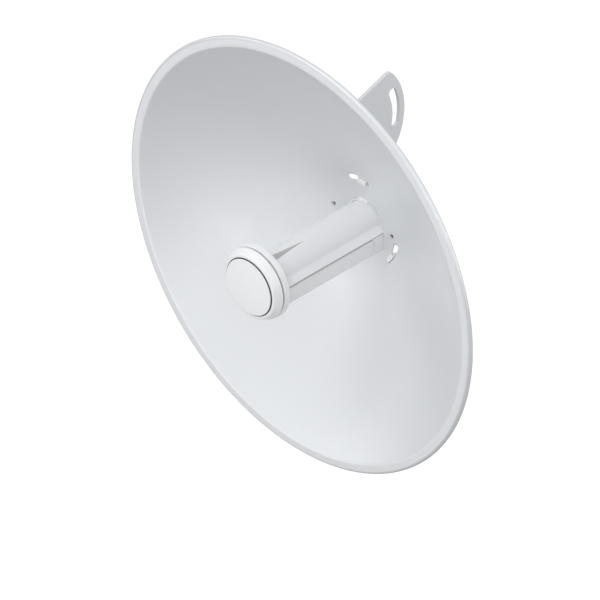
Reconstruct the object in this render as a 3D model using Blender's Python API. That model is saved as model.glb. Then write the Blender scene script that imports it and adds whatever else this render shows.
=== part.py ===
"""Outdoor wireless bridge: a plug-in radio feed in a 420 mm dish, with the bracket that carries the dish.

World frame, in metres: the origin is the middle of the bracket's pivot hole, on the plate's inner face.
+Z is up and the antenna looks along -Y. Pieces are drawn in the dish frame, whose origin is the centre
of the rim plane: x to the right seen from the front, y into the dish, z up.
"""
import math

import bmesh
import bpy
from mathutils import Matrix, Vector

MM = 0.001
GAP = 0.3 * MM                      # air left between pieces that touch

# Dish
RIM_RADIUS = 210 * MM
APERTURE_RADIUS = 200 * MM
RIM_FRONT = -1.2 * MM               # the rim's front plane, in the dish frame
BOWL_FLOOR = 80.5 * MM              # the bowl's deepest point, in the dish frame
DISH_SHEET = 1.4 * MM
BEAD_RADIUS = 2.8 * MM              # the rim is rolled back over this radius
BEAD_SWEEP = 150                    # degrees of roll
FOCAL_LENGTH = APERTURE_RADIUS ** 2 / (4 * (BOWL_FLOOR - RIM_FRONT))
LOCK_HOLE_SPACING = 72 * MM
LOCK_HOLE_RADIUS = 2.2 * MM

# Three keyhole slots in the dish take the hooks of the dish bracket
SLOT_CIRCLE = 43 * MM               # radius of the slots' centre line
SLOT_START = 112                    # degrees, anticlockwise from +x seen from the front
SLOT_STEP = 97                      # the wide mouth ends and the narrow tail starts here
SLOT_END = 79
SLOT_MOUTH = 6.5 * MM
SLOT_TAIL = 3.7 * MM
SLOT_TURNS = (0, -120, -237)

# Feed tube: a round top, a 45 degree facet on each shoulder and a box below
TUBE_RADIUS = 18.2 * MM
FACET_REACH = 20.95 * MM            # x + z along the shoulder facet
TUBE_HALF_WIDTH = 24 * MM
TUBE_BOTTOM = -23.2 * MM
TUBE_CORNER = 5 * MM
TUBE_WALL = 2 * MM
SEAM_HEIGHT = -3.05 * MM            # the two shells meet here
NECK_STEP = 2.5 * MM                # the lower shell steps in by this much where it enters the hub
TUBE_FRONT = -50 * MM
NECK_START = 68 * MM
TUBE_REAR = 100 * MM
THUMB_GROOVE = (-1 * MM, 7 * MM)    # from x to x at the cap, tapering to a point on top of the tube
THUMB_GROOVE_START = -40 * MM
THUMB_GROOVE_TIP = (3.6 * MM, 1 * MM)
THUMB_GROOVE_FLOOR = 16.9 * MM

# Front cap of the feed, turned about an axis a little below the dish's axis
CAP_AXIS_Z = -2 * MM
CAP_FRONT = -62.8 * MM
CAP_FRONT_RADIUS = 31.6 * MM
CAP_REAR = -54.5 * MM
CAP_REAR_RADIUS = 34.6 * MM
CAP_WALL = 2 * MM
DISC_RADIUS = 27.3 * MM
DISC_FRONT = -64.8 * MM
DISC_RECESS_RADIUS = 29.6 * MM
DISC_RECESS_FLOOR = -60.9 * MM
DISC_SEAL_FRONT = -62.3 * MM
FLANGE_RADIUS = 35.2 * MM
FLANGE_FRONT = -53.2 * MM
FLANGE_REAR = -46.6 * MM

# Hub of the dish. Its corners are cut so that nothing stands behind the mouths of the keyholes
CLEAR_REACH = 46.7 * MM             # x + z along the cut corners of the hub and its housing
HUB_BOSS_FRONT = NECK_START + GAP
HUB_RIM_FRONT = 79.2 * MM
HUB_FLANGE_FRONT = 81.1 * MM
HUB_FLANGE_REAR = 82.9 * MM
HUB_FLANGE_TOP = 36 * MM
HUB_FLANGE_BOTTOM = -38 * MM
HUB_EAR_RADIUS = 4 * MM
HUB_REAR = 108 * MM
HUB_CLEARANCE = 0.4 * MM
HUB_WALL = 1.6 * MM
HUB_RIM_WALL = 1.7 * MM

# Dish bracket: a ring behind the dish, hooks bent from its inner edge and an upright fan plate
BASE_FRONT = 78.4 * MM
BASE_REAR = 81.1 * MM
BASE_RADIUS = 62 * MM
HOOK_THICKNESS = 2.6 * MM
HOOK_LIP = 1.2 * MM
HOOK_SLACK = 1.5                    # degrees between a hook and the end of the keyhole's tail
FAN_OUTER_X = -52 * MM
FAN_INNER_X = -48.5 * MM
FAN_BACK_RADIUS = 67.5 * MM
FAN_TOP = (164 * MM, 95 * MM)       # a point on the sloping top edge
FAN_TOP_SLOPE = 18.8                # degrees
FAN_FOOT_Z = 14 * MM
FAN_FOOT_END = (124 * MM, 14 * MM)
PIVOT = (111 * MM, 48 * MM)         # y and z of the tilt axis in the dish frame
TILT_SLOT_RADIUS = 57 * MM
TILT_SLOT_CENTRE = 5.5              # degrees above the horizontal through the pivot
TILT_SWING = 17                     # degrees each way
HOLE_RADIUS = 4.4 * MM              # clearance hole for an M8 bolt

# Rear housing and its sliding cover
HOUSING_HALF_WIDTH = 33 * MM
HOUSING_TOP = 27 * MM
HOUSING_BOTTOM = -29 * MM
HOUSING_FRONT = HUB_FLANGE_REAR + GAP
HOUSING_REAR = 118 * MM
HOUSING_WALL = 2 * MM
EAR_THICKNESS = 3 * MM
HOUSING_SCREWS = ((-6 * MM, 31.3 * MM), (6 * MM, 31.3 * MM), (-5 * MM, -33.3 * MM), (5 * MM, -33.3 * MM))
COVER_HALF_WIDTH = 21 * MM
COVER_BOTTOM = -21.5 * MM
COVER_TOP = 19.7 * MM
COVER_THICKNESS = 2.2 * MM
GROMMET_Y = 104 * MM
BUTTON_Y = 101 * MM
BUTTON_Z = -7.2 * MM
BUTTON_HOLE = (7 * MM, 4.5 * MM)    # half its length and height
BUTTON_PROUD = 2 * MM

DISH_ORIGIN = Vector((-FAN_INNER_X, -PIVOT[0], -PIVOT[1]))

CIRCLE_STEPS = 40
DISH_STEPS = 72


# Materials -----------------------------------------------------------------------------------------------

def material(name, colour, roughness, metallic=0.0):
    """The Principled material of that name, made once."""
    if name in bpy.data.materials:
        return bpy.data.materials[name]
    made = bpy.data.materials.new(name)
    made.use_nodes = True
    made.diffuse_color = (*colour, 1)
    shader = made.node_tree.nodes["Principled BSDF"]
    shader.inputs["Base Color"].default_value = (*colour, 1)
    shader.inputs["Roughness"].default_value = roughness
    shader.inputs["Metallic"].default_value = metallic
    return made


def white_plastic():
    return material("white_plastic", (0.86, 0.87, 0.88), 0.28)


def dish_paint():
    return material("dish_paint", (0.82, 0.83, 0.84), 0.35)


def bracket_paint():
    return material("bracket_paint", (0.78, 0.79, 0.80), 0.4)


def zinc():
    return material("zinc", (0.62, 0.63, 0.65), 0.35, 1.0)


def dark_rubber():
    return material("dark_rubber", (0.06, 0.06, 0.06), 0.7)


def grey_rubber():
    return material("grey_rubber", (0.42, 0.43, 0.44), 0.65)


def board_green():
    return material("board_green", (0.03, 0.16, 0.07), 0.45)


def bright_tin():
    return material("bright_tin", (0.75, 0.76, 0.77), 0.25, 1.0)


def cast_aluminium():
    return material("cast_aluminium", (0.66, 0.67, 0.68), 0.5, 1.0)


def dark_plastic():
    return material("dark_plastic", (0.05, 0.05, 0.055), 0.4)


def clear_plastic():
    return material("clear_plastic", (0.75, 0.85, 0.95), 0.1)


# Outlines: lists of (a, b) points ------------------------------------------------------------------------

def arc(centre, radius, start, end, steps):
    """Points on an arc, with its angles in degrees and both ends included."""
    points = []
    for i in range(steps + 1):
        angle = math.radians(start + (end - start) * i / steps)
        points.append((centre[0] + radius * math.cos(angle), centre[1] + radius * math.sin(angle)))
    return points


def rectangle(low_a, high_a, low_b, high_b):
    return [(low_a, low_b), (high_a, low_b), (high_a, high_b), (low_a, high_b)]


def circle(radius, steps=CIRCLE_STEPS, centre=(0, 0)):
    return arc(centre, radius, 0, 360, steps)[:-1]


def rounded(outline, radius, corners=None, steps=5):
    """The outline with its corners, or those with the given indices, turned into arcs."""
    result = []
    for i, corner in enumerate(outline):
        if corners is not None and i not in corners:
            result.append(corner)
            continue
        here = Vector(corner)
        to_last = (Vector(outline[i - 1]) - here).normalized()
        to_next = (Vector(outline[(i + 1) % len(outline)]) - here).normalized()
        half = to_last.angle(to_next) / 2
        centre = here + (to_last + to_next).normalized() * radius / math.sin(half)
        first = here + to_last * radius / math.tan(half) - centre
        last = here + to_next * radius / math.tan(half) - centre
        for k in range(steps + 1):
            spoke = first.slerp(last, k / steps).normalized() * radius
            result.append(tuple(centre + spoke))
    return result


def mirrored(half):
    """A half outline with a >= 0, from top to bottom, closed by its mirror image."""
    return half + [(-a, b) for a, b in reversed(half) if a > 1e-9]


def tube_top(grow, foot):
    """Right half of the tube's upper outline, grown outwards and cut off at height foot."""
    radius = TUBE_RADIUS + grow
    reach = FACET_REACH + grow * math.sqrt(2)
    shoulder_x = (reach + math.sqrt(2 * radius ** 2 - reach ** 2)) / 2
    shoulder = math.degrees(math.acos(shoulder_x / radius))
    points = arc((0, 0), radius, 90, shoulder, 9)
    edge_x = min(TUBE_HALF_WIDTH + grow, reach - foot)
    points.append((edge_x, reach - edge_x))
    if reach - edge_x > foot + 1e-7:
        points.append((edge_x, foot))
    return points


def tube_box(grow, top):
    """Right half of the tube's lower outline, from height top to the middle of the floor."""
    width = TUBE_HALF_WIDTH + grow
    bottom = TUBE_BOTTOM - grow
    radius = TUBE_CORNER + grow
    corner = arc((width - radius, bottom + radius), radius, 0, -90, 5)
    return [(width, top)] + corner


def cut_corner_box(half, bottom, top, inset=0.0):
    """A box whose corners are cut at 45 degrees, where x + z reaches CLEAR_REACH."""
    half, bottom, top = half - inset, bottom + inset, top - inset
    reach = CLEAR_REACH - inset * math.sqrt(2)
    right = [(reach - top, top), (half, reach - half), (half, half - reach), (reach + bottom, bottom)]
    return mirrored(right)


def hub_passage():
    """What slides through the hub, grown by its clearance: the full top and the stepped-in neck."""
    foot = SEAM_HEIGHT - HUB_CLEARANCE
    top = tube_top(HUB_CLEARANCE, foot)
    neck = tube_box(HUB_CLEARANCE - NECK_STEP, foot)
    return mirrored(top + neck)


def keyhole(turn):
    """One keyhole slot of the dish, turned about the middle by an angle in degrees."""
    start, step, end = SLOT_START + turn, SLOT_STEP + turn, SLOT_END + turn
    half_mouth, half_tail = SLOT_MOUTH / 2, SLOT_TAIL / 2
    return (
        arc((0, 0), SLOT_CIRCLE + half_mouth, start, step, 3)
        + arc((0, 0), SLOT_CIRCLE + half_tail, step, end, 3)
        + arc((0, 0), SLOT_CIRCLE - half_tail, end, step, 3)
        + arc((0, 0), SLOT_CIRCLE - half_mouth, step, start, 3)
    )


def curved_slot(centre, radius, half_width, start, end):
    """A slot with round ends along an arc; start and end are its ends' centres, in degrees."""
    outline = arc(centre, radius + half_width, start, end, 8)
    for angle, first in ((end, end), (start, start + 180)):
        spot = arc(centre, radius, angle, angle, 1)[0]
        outline += arc(spot, half_width, first, first + 180, 6)[1:]
        if angle == end:
            outline += arc(centre, radius - half_width, end, start, 8)[1:]
    return outline[:-1]


# Solids: bmeshes -----------------------------------------------------------------------------------------

def spot(axis, a, b, along):
    """A point whose outline coordinates are a and b, at a distance along the named axis."""
    return {"X": (along, a, b), "Y": (a, along, b), "Z": (a, b, along)}[axis]


def prism(outline, axis, start, end):
    """The outline extruded along an axis: (y, z) for X, (x, z) for Y and (x, y) for Z."""
    bm = bmesh.new()
    floor = bm.faces.new([bm.verts.new(spot(axis, a, b, start)) for a, b in outline])
    grown = bmesh.ops.extrude_face_region(bm, geom=[floor])["geom"]
    top = [item for item in grown if isinstance(item, bmesh.types.BMVert)]
    bmesh.ops.translate(bm, verts=top, vec=spot(axis, 0, 0, end - start))
    bmesh.ops.recalc_face_normals(bm, faces=bm.faces)
    return bm


def turned(profile, steps=CIRCLE_STEPS, axis="Y"):
    """A profile of (radius, height) points spun about an axis, and left open where it meets the axis."""
    bm = bmesh.new()
    verts = [bm.verts.new((radius, height, 0)) for radius, height in profile]
    edges = [bm.edges.new(pair) for pair in zip(verts, verts[1:])]
    if profile[0][0] > 0:
        edges.append(bm.edges.new((verts[-1], verts[0])))
    bmesh.ops.spin(
        bm, geom=verts + edges, cent=(0, 0, 0), axis=(0, 1, 0), angle=math.tau, steps=steps, use_merge=True
    )
    bmesh.ops.remove_doubles(bm, verts=bm.verts, dist=1e-6)
    bmesh.ops.recalc_face_normals(bm, faces=bm.faces)
    turn = {
        "X": Matrix.Rotation(-math.pi / 2, 3, "Z"),
        "Y": Matrix.Identity(3),
        "Z": Matrix.Rotation(math.pi / 2, 3, "X"),
    }[axis]
    bmesh.ops.rotate(bm, verts=bm.verts, cent=(0, 0, 0), matrix=turn)
    return bm


def moved(bm, offset):
    bmesh.ops.translate(bm, verts=bm.verts, vec=offset)
    return bm


def rod(radius, start, end, axis="Y", steps=24, offset=(0, 0, 0)):
    """A plain round bar."""
    return moved(turned([(0, start), (radius, start), (radius, end), (0, end)], steps, axis), offset)


def block(low, high):
    return prism(rectangle(low[0], high[0], low[2], high[2]), "Y", low[1], high[1])


def merged(*solids):
    """Several solids that don't touch, in one bmesh."""
    whole = bmesh.new()
    for solid in solids:
        mesh = bpy.data.meshes.new("scratch")
        solid.to_mesh(mesh)
        solid.free()
        whole.from_mesh(mesh)
        bpy.data.meshes.remove(mesh)
    return whole


# Objects -------------------------------------------------------------------------------------------------

def empty(name, location, parent=None):
    made = bpy.data.objects.new(name, None)
    bpy.context.collection.objects.link(made)
    made.parent = parent
    made.location = location
    return made


def piece(name, solid, look, parent=None, location=(0, 0, 0)):
    """A named sub-part made of a bmesh."""
    mesh = bpy.data.meshes.new(name)
    solid.to_mesh(mesh)
    solid.free()
    mesh.materials.append(look)
    mesh.shade_smooth()
    mesh.set_sharp_from_angle(angle=math.radians(35))
    return place(name, mesh, parent, location)


def place(name, mesh, parent, location, turn=(0, 0, 0)):
    """An object that shows a mesh; several can share one."""
    made = bpy.data.objects.new(name, mesh)
    bpy.context.collection.objects.link(made)
    made.parent = parent
    made.location = location
    made.rotation_euler = turn
    return made


def reshape(target, operation, solid):
    """A live Boolean on target, with its tool kept as a wire guide at the same place."""
    label = f"{target.name}_{operation.lower()}_{len(target.modifiers)}"
    mesh = bpy.data.meshes.new(label)
    solid.to_mesh(mesh)
    solid.free()
    tool = place(label, mesh, target.parent, target.location)
    tool.hide_render = True
    tool.display_type = "WIRE"
    change = target.modifiers.new(operation.lower(), "BOOLEAN")
    change.operation = operation
    change.solver = "EXACT"
    change.object = tool


def cut(target, *solids):
    reshape(target, "DIFFERENCE", merged(*solids))


def weld(target, *solids):
    for solid in solids:
        reshape(target, "UNION", solid)


# The dish ------------------------------------------------------------------------------------------------

def bowl_y(radius):
    """Where the bowl's front surface lies in the dish frame."""
    return BOWL_FLOOR - radius ** 2 / (4 * FOCAL_LENGTH)


def dish_profile():
    """Front surface outwards, round the rolled rim and back along the rear surface."""
    inner, rings = 12 * MM, 7
    radii = [inner + (APERTURE_RADIUS - inner) * i / rings for i in range(rings + 1)]
    front = [(radius, bowl_y(radius)) for radius in radii]
    roll = (RIM_RADIUS - BEAD_RADIUS, RIM_FRONT + BEAD_RADIUS)
    outer_roll = arc(roll, BEAD_RADIUS, -90, BEAD_SWEEP - 90, 5)
    inner_roll = arc(roll, BEAD_RADIUS - DISH_SHEET, BEAD_SWEEP - 90, -90, 3)
    rear = []
    for radius in reversed(radii[:-1]):
        lean = radius / (2 * FOCAL_LENGTH)
        normal = Vector((lean, 1)).normalized() * DISH_SHEET
        rear.append((radius + normal.x, bowl_y(radius) + normal.y))
    under_lip = (APERTURE_RADIUS + 1.5 * DISH_SHEET, RIM_FRONT + DISH_SHEET)
    return front + outer_roll + inner_roll + [under_lip] + rear


def make_dish():
    dish = piece("dish_reflector", turned(dish_profile(), DISH_STEPS), dish_paint(), location=DISH_ORIGIN)
    rim_gap = HUB_CLEARANCE + HUB_RIM_WALL + GAP
    foot = SEAM_HEIGHT - HUB_CLEARANCE
    opening = mirrored(tube_top(rim_gap, foot) + tube_box(GAP, foot))
    start, end = 60 * MM, 90 * MM
    slots = [prism(keyhole(turn), "Y", start, end) for turn in SLOT_TURNS]
    cut(dish, prism(opening, "Y", start, end), *slots, *lock_holes(LOCK_HOLE_RADIUS, start, end))


def sleeve_outline():
    """The outside of the hub's rear sleeve."""
    foot = SEAM_HEIGHT - HUB_CLEARANCE
    wall = HUB_CLEARANCE + HUB_WALL
    return mirrored(tube_top(wall, foot) + tube_box(wall - NECK_STEP, foot))


def lock_holes(radius, start, end):
    """Round bars through the two lock screws' holes, left and right of the hub."""
    half = LOCK_HOLE_SPACING / 2
    return [rod(radius, start, end, steps=16, offset=(x, 0, 0)) for x in (-half, half)]


def make_hub():
    """The moulded sleeve in the middle of the dish that the feed plugs into."""
    foot = SEAM_HEIGHT - HUB_CLEARANCE
    outline = cut_corner_box(HOUSING_HALF_WIDTH, HUB_FLANGE_BOTTOM, HUB_FLANGE_TOP)
    flange = prism(outline, "Y", HUB_FLANGE_FRONT, HUB_FLANGE_REAR)
    hub = piece("hub_collar", flange, white_plastic(), location=DISH_ORIGIN)
    rim_outline = mirrored(tube_top(HUB_CLEARANCE + HUB_RIM_WALL, foot) + tube_box(0, foot))
    boss_outline = mirrored([(0, foot - GAP)] + tube_box(0, foot - GAP))
    bite = 0.5 * MM
    weld(
        hub,
        prism(rim_outline, "Y", HUB_RIM_FRONT, HUB_FLANGE_FRONT + bite),
        prism(boss_outline, "Y", HUB_BOSS_FRONT, HUB_RIM_FRONT + bite),
        prism(sleeve_outline(), "Y", HUB_FLANGE_REAR - bite, HUB_REAR),
        *lock_holes(HUB_EAR_RADIUS, HUB_FLANGE_FRONT, HUB_FLANGE_REAR),
    )
    through = (HUB_FLANGE_FRONT - MM, HUB_FLANGE_REAR + MM)
    screw_holes = [rod(1.9 * MM, *through, steps=12, offset=(x, 0, z)) for x, z in HOUSING_SCREWS]
    cut(hub, prism(hub_passage(), "Y", HUB_BOSS_FRONT - MM, HUB_REAR + MM),
        *lock_holes(LOCK_HOLE_RADIUS, *through), *screw_holes)


# The dish bracket ----------------------------------------------------------------------------------------

def fan_top_z(y):
    """Height of the fan's sloping top edge."""
    return FAN_TOP[1] + math.tan(math.radians(FAN_TOP_SLOPE)) * (y - FAN_TOP[0])


def fan_outline():
    """The upright plate with the tilt slot, as (y, z) points."""
    # The top edge passes above the pivot at this distance, which gives the angle where it meets the arc
    slope = math.radians(FAN_TOP_SLOPE)
    above = (fan_top_z(PIVOT[0]) - PIVOT[1]) * math.cos(slope)
    corner_angle = FAN_TOP_SLOPE + math.degrees(math.asin(above / FAN_BACK_RADIUS))
    back = arc(PIVOT, FAN_BACK_RADIUS, corner_angle, -38, 10)
    outline = [(BASE_FRONT, FAN_FOOT_Z), (BASE_FRONT, fan_top_z(BASE_FRONT))] + back + [FAN_FOOT_END]
    outline = rounded(outline, 12 * MM, corners=[len(outline) - 2])
    return rounded(outline, 6 * MM, corners=[2], steps=4)


def hook(turn):
    """A curved tab through a keyhole's tail, and the lip that it turns inwards over the dish's face."""
    outer, inner = SLOT_CIRCLE + HOOK_THICKNESS / 2, SLOT_CIRCLE - HOOK_THICKNESS / 2
    start, end = SLOT_STEP - HOOK_SLACK + turn, SLOT_END + 2 * HOOK_SLACK + turn
    proud = bowl_y(outer) - GAP
    tab = arc((0, 0), outer, start, end, 4) + arc((0, 0), inner, end, start, 4)
    # The lip's sides lie just inside the tab's, so that no two faces of the union coincide
    lip_outer, lip_start, lip_end = outer - 0.2 * MM, start - 0.4, end + 0.4
    lip = arc((0, 0), lip_outer, lip_start, lip_end, 4) + arc((0, 0), inner - HOOK_LIP, lip_end, lip_start, 4)
    return (
        prism(tab, "Y", proud - 0.6 * MM, BASE_REAR),
        prism(lip, "Y", proud - 1.5 * MM, proud),
    )


def base_outline():
    """The ring's outside, drawn out to the top of the fold where the fan plate starts."""
    fold_x = (FAN_OUTER_X + FAN_INNER_X) / 2
    fold_angle = math.degrees(math.acos(fold_x / BASE_RADIUS))
    corner = Vector((fold_x, fan_top_z(BASE_FRONT)))
    tangent = math.degrees(math.atan2(corner.y, corner.x) - math.acos(BASE_RADIUS / corner.length))
    return arc((0, 0), BASE_RADIUS, -fold_angle, tangent, 30) + [tuple(corner)]


def make_dish_bracket():
    bracket = piece("dish_bracket", prism(base_outline(), "Y", BASE_FRONT, BASE_REAR), bracket_paint(),
                    location=DISH_ORIGIN)
    weld(bracket, prism(fan_outline(), "X", FAN_OUTER_X, FAN_INNER_X))
    ring_hole = rod(SLOT_CIRCLE + HOOK_THICKNESS / 2 - 0.2 * MM, BASE_FRONT - MM, BASE_REAR + MM, steps=48)
    through = (FAN_OUTER_X - MM, FAN_INNER_X + MM)
    swing = TILT_SWING + 0.1
    slot = curved_slot(
        PIVOT, TILT_SLOT_RADIUS, HOLE_RADIUS, TILT_SLOT_CENTRE - swing, TILT_SLOT_CENTRE + swing
    )
    pivot_hole = prism(circle(HOLE_RADIUS, 24, PIVOT), "X", *through)
    cut(bracket, ring_hole, prism(slot, "X", *through), pivot_hole)
    for turn in SLOT_TURNS:
        weld(bracket, *hook(turn))
    make_lock_screws()


def make_lock_screws():
    """Two screws from behind hold the hub to the dish."""
    face = HUB_FLANGE_REAR + GAP
    tip = bowl_y(LOCK_HOLE_SPACING / 2) + 0.6 * MM
    shank, head = 1.7 * MM, 2.6 * MM
    profile = [(0, tip), (shank, tip), (shank, face), (head, face), (head, face + 1.8 * MM),
               (head - 0.8 * MM, face + 2.4 * MM), (0, face + 2.4 * MM)]
    first = piece("lock_screw_left", turned(profile, 20), zinc(),
                  location=DISH_ORIGIN + Vector((-LOCK_HOLE_SPACING / 2, 0, 0)))
    place("lock_screw_right", first.data, None, DISH_ORIGIN + Vector((LOCK_HOLE_SPACING / 2, 0, 0)))


# The feed ------------------------------------------------------------------------------------------------

def make_feed_shells(feed):
    inner_reach = FACET_REACH - TUBE_WALL * math.sqrt(2)
    outer = tube_top(0, SEAM_HEIGHT)
    inner = tube_top(-TUBE_WALL, SEAM_HEIGHT)[:-1] + [(inner_reach - SEAM_HEIGHT, SEAM_HEIGHT)]
    upper_outline = outer + list(reversed(inner)) + [(-a, b) for a, b in inner[1:]]
    upper_outline += [(-a, b) for a, b in reversed(outer[1:])]
    upper_solid = prism(upper_outline, "Y", TUBE_FRONT, TUBE_REAR)
    upper = piece("feed_shell_upper", upper_solid, white_plastic(), feed)
    groove_left, groove_right = THUMB_GROOVE
    wedge = [(groove_left, THUMB_GROOVE_START), (groove_right, THUMB_GROOVE_START), THUMB_GROOVE_TIP]
    cut(upper, prism(wedge, "Z", THUMB_GROOVE_FLOOR, TUBE_RADIUS + MM))

    top = SEAM_HEIGHT - GAP

    def trough(grow):
        outside = tube_box(grow, top)
        inside = tube_box(grow - TUBE_WALL, top)
        return (outside + [(-a, b) for a, b in reversed(outside)] + [(-a, b) for a, b in inside]
                + list(reversed(inside)))

    front_part = prism(trough(0), "Y", TUBE_FRONT, NECK_START)
    lower = piece("feed_shell_lower", front_part, white_plastic(), feed)
    collar = trough(0)
    neck_inside = tube_box(-NECK_STEP - TUBE_WALL, top)
    step_outline = collar[:len(collar) // 2]
    step_outline += [(-a, b) for a, b in neck_inside] + list(reversed(neck_inside))
    weld(
        lower,
        prism(step_outline, "Y", NECK_START - TUBE_WALL, NECK_START),
        prism(trough(-NECK_STEP), "Y", NECK_START - TUBE_WALL, TUBE_REAR),
    )


def make_feed_cap(feed):
    axis = (0, 0, CAP_AXIS_Z)
    flange_inner = FLANGE_RADIUS - 3 * MM
    floor_front = FLANGE_REAR - CAP_WALL
    flange = piece(
        "feed_flange",
        turned([(0, floor_front), (flange_inner, floor_front), (flange_inner, FLANGE_FRONT),
                (FLANGE_RADIUS - 0.5 * MM, FLANGE_FRONT), (FLANGE_RADIUS, FLANGE_FRONT + 0.6 * MM),
                (FLANGE_RADIUS, FLANGE_REAR - MM), (FLANGE_RADIUS - MM, FLANGE_REAR), (0, FLANGE_REAR)]),
        white_plastic(), feed, axis)
    tube_hole = mirrored(tube_top(GAP, SEAM_HEIGHT) + tube_box(GAP, SEAM_HEIGHT))
    cut(flange, moved(prism(tube_hole, "Y", floor_front - MM, FLANGE_REAR + MM), (0, 0, -CAP_AXIS_Z)))

    gasket_outer, gasket_inner = CAP_REAR_RADIUS - 0.9 * MM, flange_inner - 2 * MM
    piece("cap_gasket",
          turned([(gasket_inner, CAP_REAR + 0.1 * MM), (gasket_outer, CAP_REAR + 0.1 * MM),
                  (gasket_outer, FLANGE_FRONT - GAP), (gasket_inner, FLANGE_FRONT - GAP)]),
          grey_rubber(), feed, axis)

    lip = CAP_FRONT_RADIUS - 1.2 * MM
    floor_rear = DISC_RECESS_FLOOR + CAP_WALL
    wall_rear = CAP_REAR - GAP
    piece("feed_cap",
          turned([(0, DISC_RECESS_FLOOR), (DISC_RECESS_RADIUS, DISC_RECESS_FLOOR),
                  (DISC_RECESS_RADIUS, CAP_FRONT), (lip, CAP_FRONT),
                  (CAP_FRONT_RADIUS - 0.3 * MM, CAP_FRONT + 0.4 * MM),
                  (CAP_FRONT_RADIUS, CAP_FRONT + 1.2 * MM),
                  (CAP_REAR_RADIUS, wall_rear), (CAP_REAR_RADIUS - CAP_WALL, wall_rear),
                  (CAP_FRONT_RADIUS - CAP_WALL, floor_rear), (0, floor_rear)]),
          white_plastic(), feed, axis)

    seal_inner, seal_outer = DISC_RADIUS + GAP, DISC_RECESS_RADIUS - GAP
    disc_rear = DISC_RECESS_FLOOR - GAP
    piece("disc_seal",
          turned([(seal_inner, DISC_SEAL_FRONT), (seal_outer, DISC_SEAL_FRONT),
                  (seal_outer, disc_rear), (seal_inner, disc_rear)]),
          dark_rubber(), feed, axis)

    edge = 0.7 * MM
    piece("cap_disc",
          turned([(0, DISC_FRONT), (DISC_RADIUS * 0.6, DISC_FRONT + 0.25 * MM),
                  (DISC_RADIUS - edge, DISC_FRONT + 0.8 * MM), (DISC_RADIUS, DISC_FRONT + 0.8 * MM + edge),
                  (DISC_RADIUS, disc_rear), (0, disc_rear)]),
          white_plastic(), feed, axis)


def make_feed_insides(feed):
    plate_front = DISC_RECESS_FLOOR + CAP_WALL + 1.2 * MM
    piece("splash_plate", rod(24 * MM, plate_front, plate_front + 1.2 * MM, steps=40,
                              offset=(0, 0, CAP_AXIS_Z)), bright_tin(), feed)
    piece("radiator_board", block((-15 * MM, -52.6 * MM, -17 * MM), (15 * MM, -51 * MM, 13 * MM)),
          board_green(), feed)
    board_top = -8.4 * MM
    board_width, board_rear = 18.5 * MM, 95 * MM
    piece("radio_board",
          block((-board_width, -49.5 * MM, board_top - 1.6 * MM), (board_width, board_rear, board_top)),
          board_green(), feed)
    can_solid = block((-15 * MM, -30 * MM, board_top + GAP), (15 * MM, 55 * MM, -2.4 * MM))
    can = piece("board_shield", can_solid, bright_tin(), feed)
    cut(can, block((-14.4 * MM, -29.4 * MM, board_top - MM), (14.4 * MM, 54.4 * MM, -3 * MM)))
    spreader_top = board_top - 1.6 * MM - GAP
    spreader_bottom = TUBE_BOTTOM + TUBE_WALL + GAP
    spreader_solid = block((-14 * MM, -25 * MM, spreader_bottom), (14 * MM, 50 * MM, spreader_top))
    spreader = piece("heat_spreader", spreader_solid, cast_aluminium(), feed)
    cut(spreader, *[
        block((x - 1.6 * MM, -26 * MM, TUBE_BOTTOM), (x + 1.6 * MM, 51 * MM, spreader_top - 3 * MM))
        for x in (-9.6 * MM, -3.2 * MM, 3.2 * MM, 9.6 * MM)
    ])
    make_ports(feed, board_top)


def make_ports(feed, board_top):
    """The socket, reset button and status light at the rear end of the feed."""
    plate_front, plate_rear = TUBE_REAR - 2.5 * MM, TUBE_REAR - 0.5 * MM
    outline = arc((0, 0), TUBE_RADIUS - TUBE_WALL - 2 * GAP, 90, 10, 8)
    outline += tube_box(-NECK_STEP - TUBE_WALL - GAP, SEAM_HEIGHT)
    end_plate = piece("feed_end_plate", prism(mirrored(outline), "Y", plate_front, plate_rear),
                      white_plastic(), feed)
    jack_half, jack_top = 8 * MM, board_top + 14 * MM
    button_x, light_x, control_z = 12.2 * MM, -12.2 * MM, -1 * MM
    control_radius = 1.4 * MM
    cut(end_plate,
        block((-jack_half - GAP, plate_front - MM, board_top - 2.5 * MM),
              (jack_half + GAP, plate_rear + MM, jack_top + GAP)),
        *[rod(control_radius + GAP, plate_front - MM, plate_rear + MM, steps=16, offset=(x, 0, control_z))
          for x in (button_x, light_x)])
    jack_solid = block((-jack_half, 78 * MM, board_top + GAP), (jack_half, TUBE_REAR - 0.2 * MM, jack_top))
    jack = piece("ethernet_jack", jack_solid, bright_tin(), feed)
    socket_depth = 13 * MM
    cut(jack, block((-5.9 * MM, TUBE_REAR - socket_depth, board_top + 3 * MM),
                    (5.9 * MM, TUBE_REAR + MM, board_top + 11.2 * MM)))
    light_pipe = rod(control_radius, 86 * MM, TUBE_REAR, steps=16, offset=(light_x, 0, control_z))
    piece("status_light_pipe", light_pipe, clear_plastic(), feed)
    switch_rear = 93.2 * MM
    switch_top = control_z + 2.5 * MM
    switch_left, switch_right = button_x - 3 * MM, button_x + 3 * MM
    switch = block((switch_left, 88 * MM, board_top + GAP), (switch_right, switch_rear, switch_top))
    piece("reset_switch", switch, dark_plastic(), feed)
    collar = plate_front - GAP
    press = empty("reset_press_axis", (button_x, 0, control_z), feed)
    piece("reset_button",
          turned([(0, switch_rear + 1.0 * MM), (2.2 * MM, switch_rear + 1.0 * MM), (2.2 * MM, collar),
                  (control_radius, collar), (control_radius, TUBE_REAR - 0.4 * MM),
                  (0, TUBE_REAR - 0.4 * MM)], 16),
          dark_plastic(), press)


# Rear housing --------------------------------------------------------------------------------------------

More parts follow.
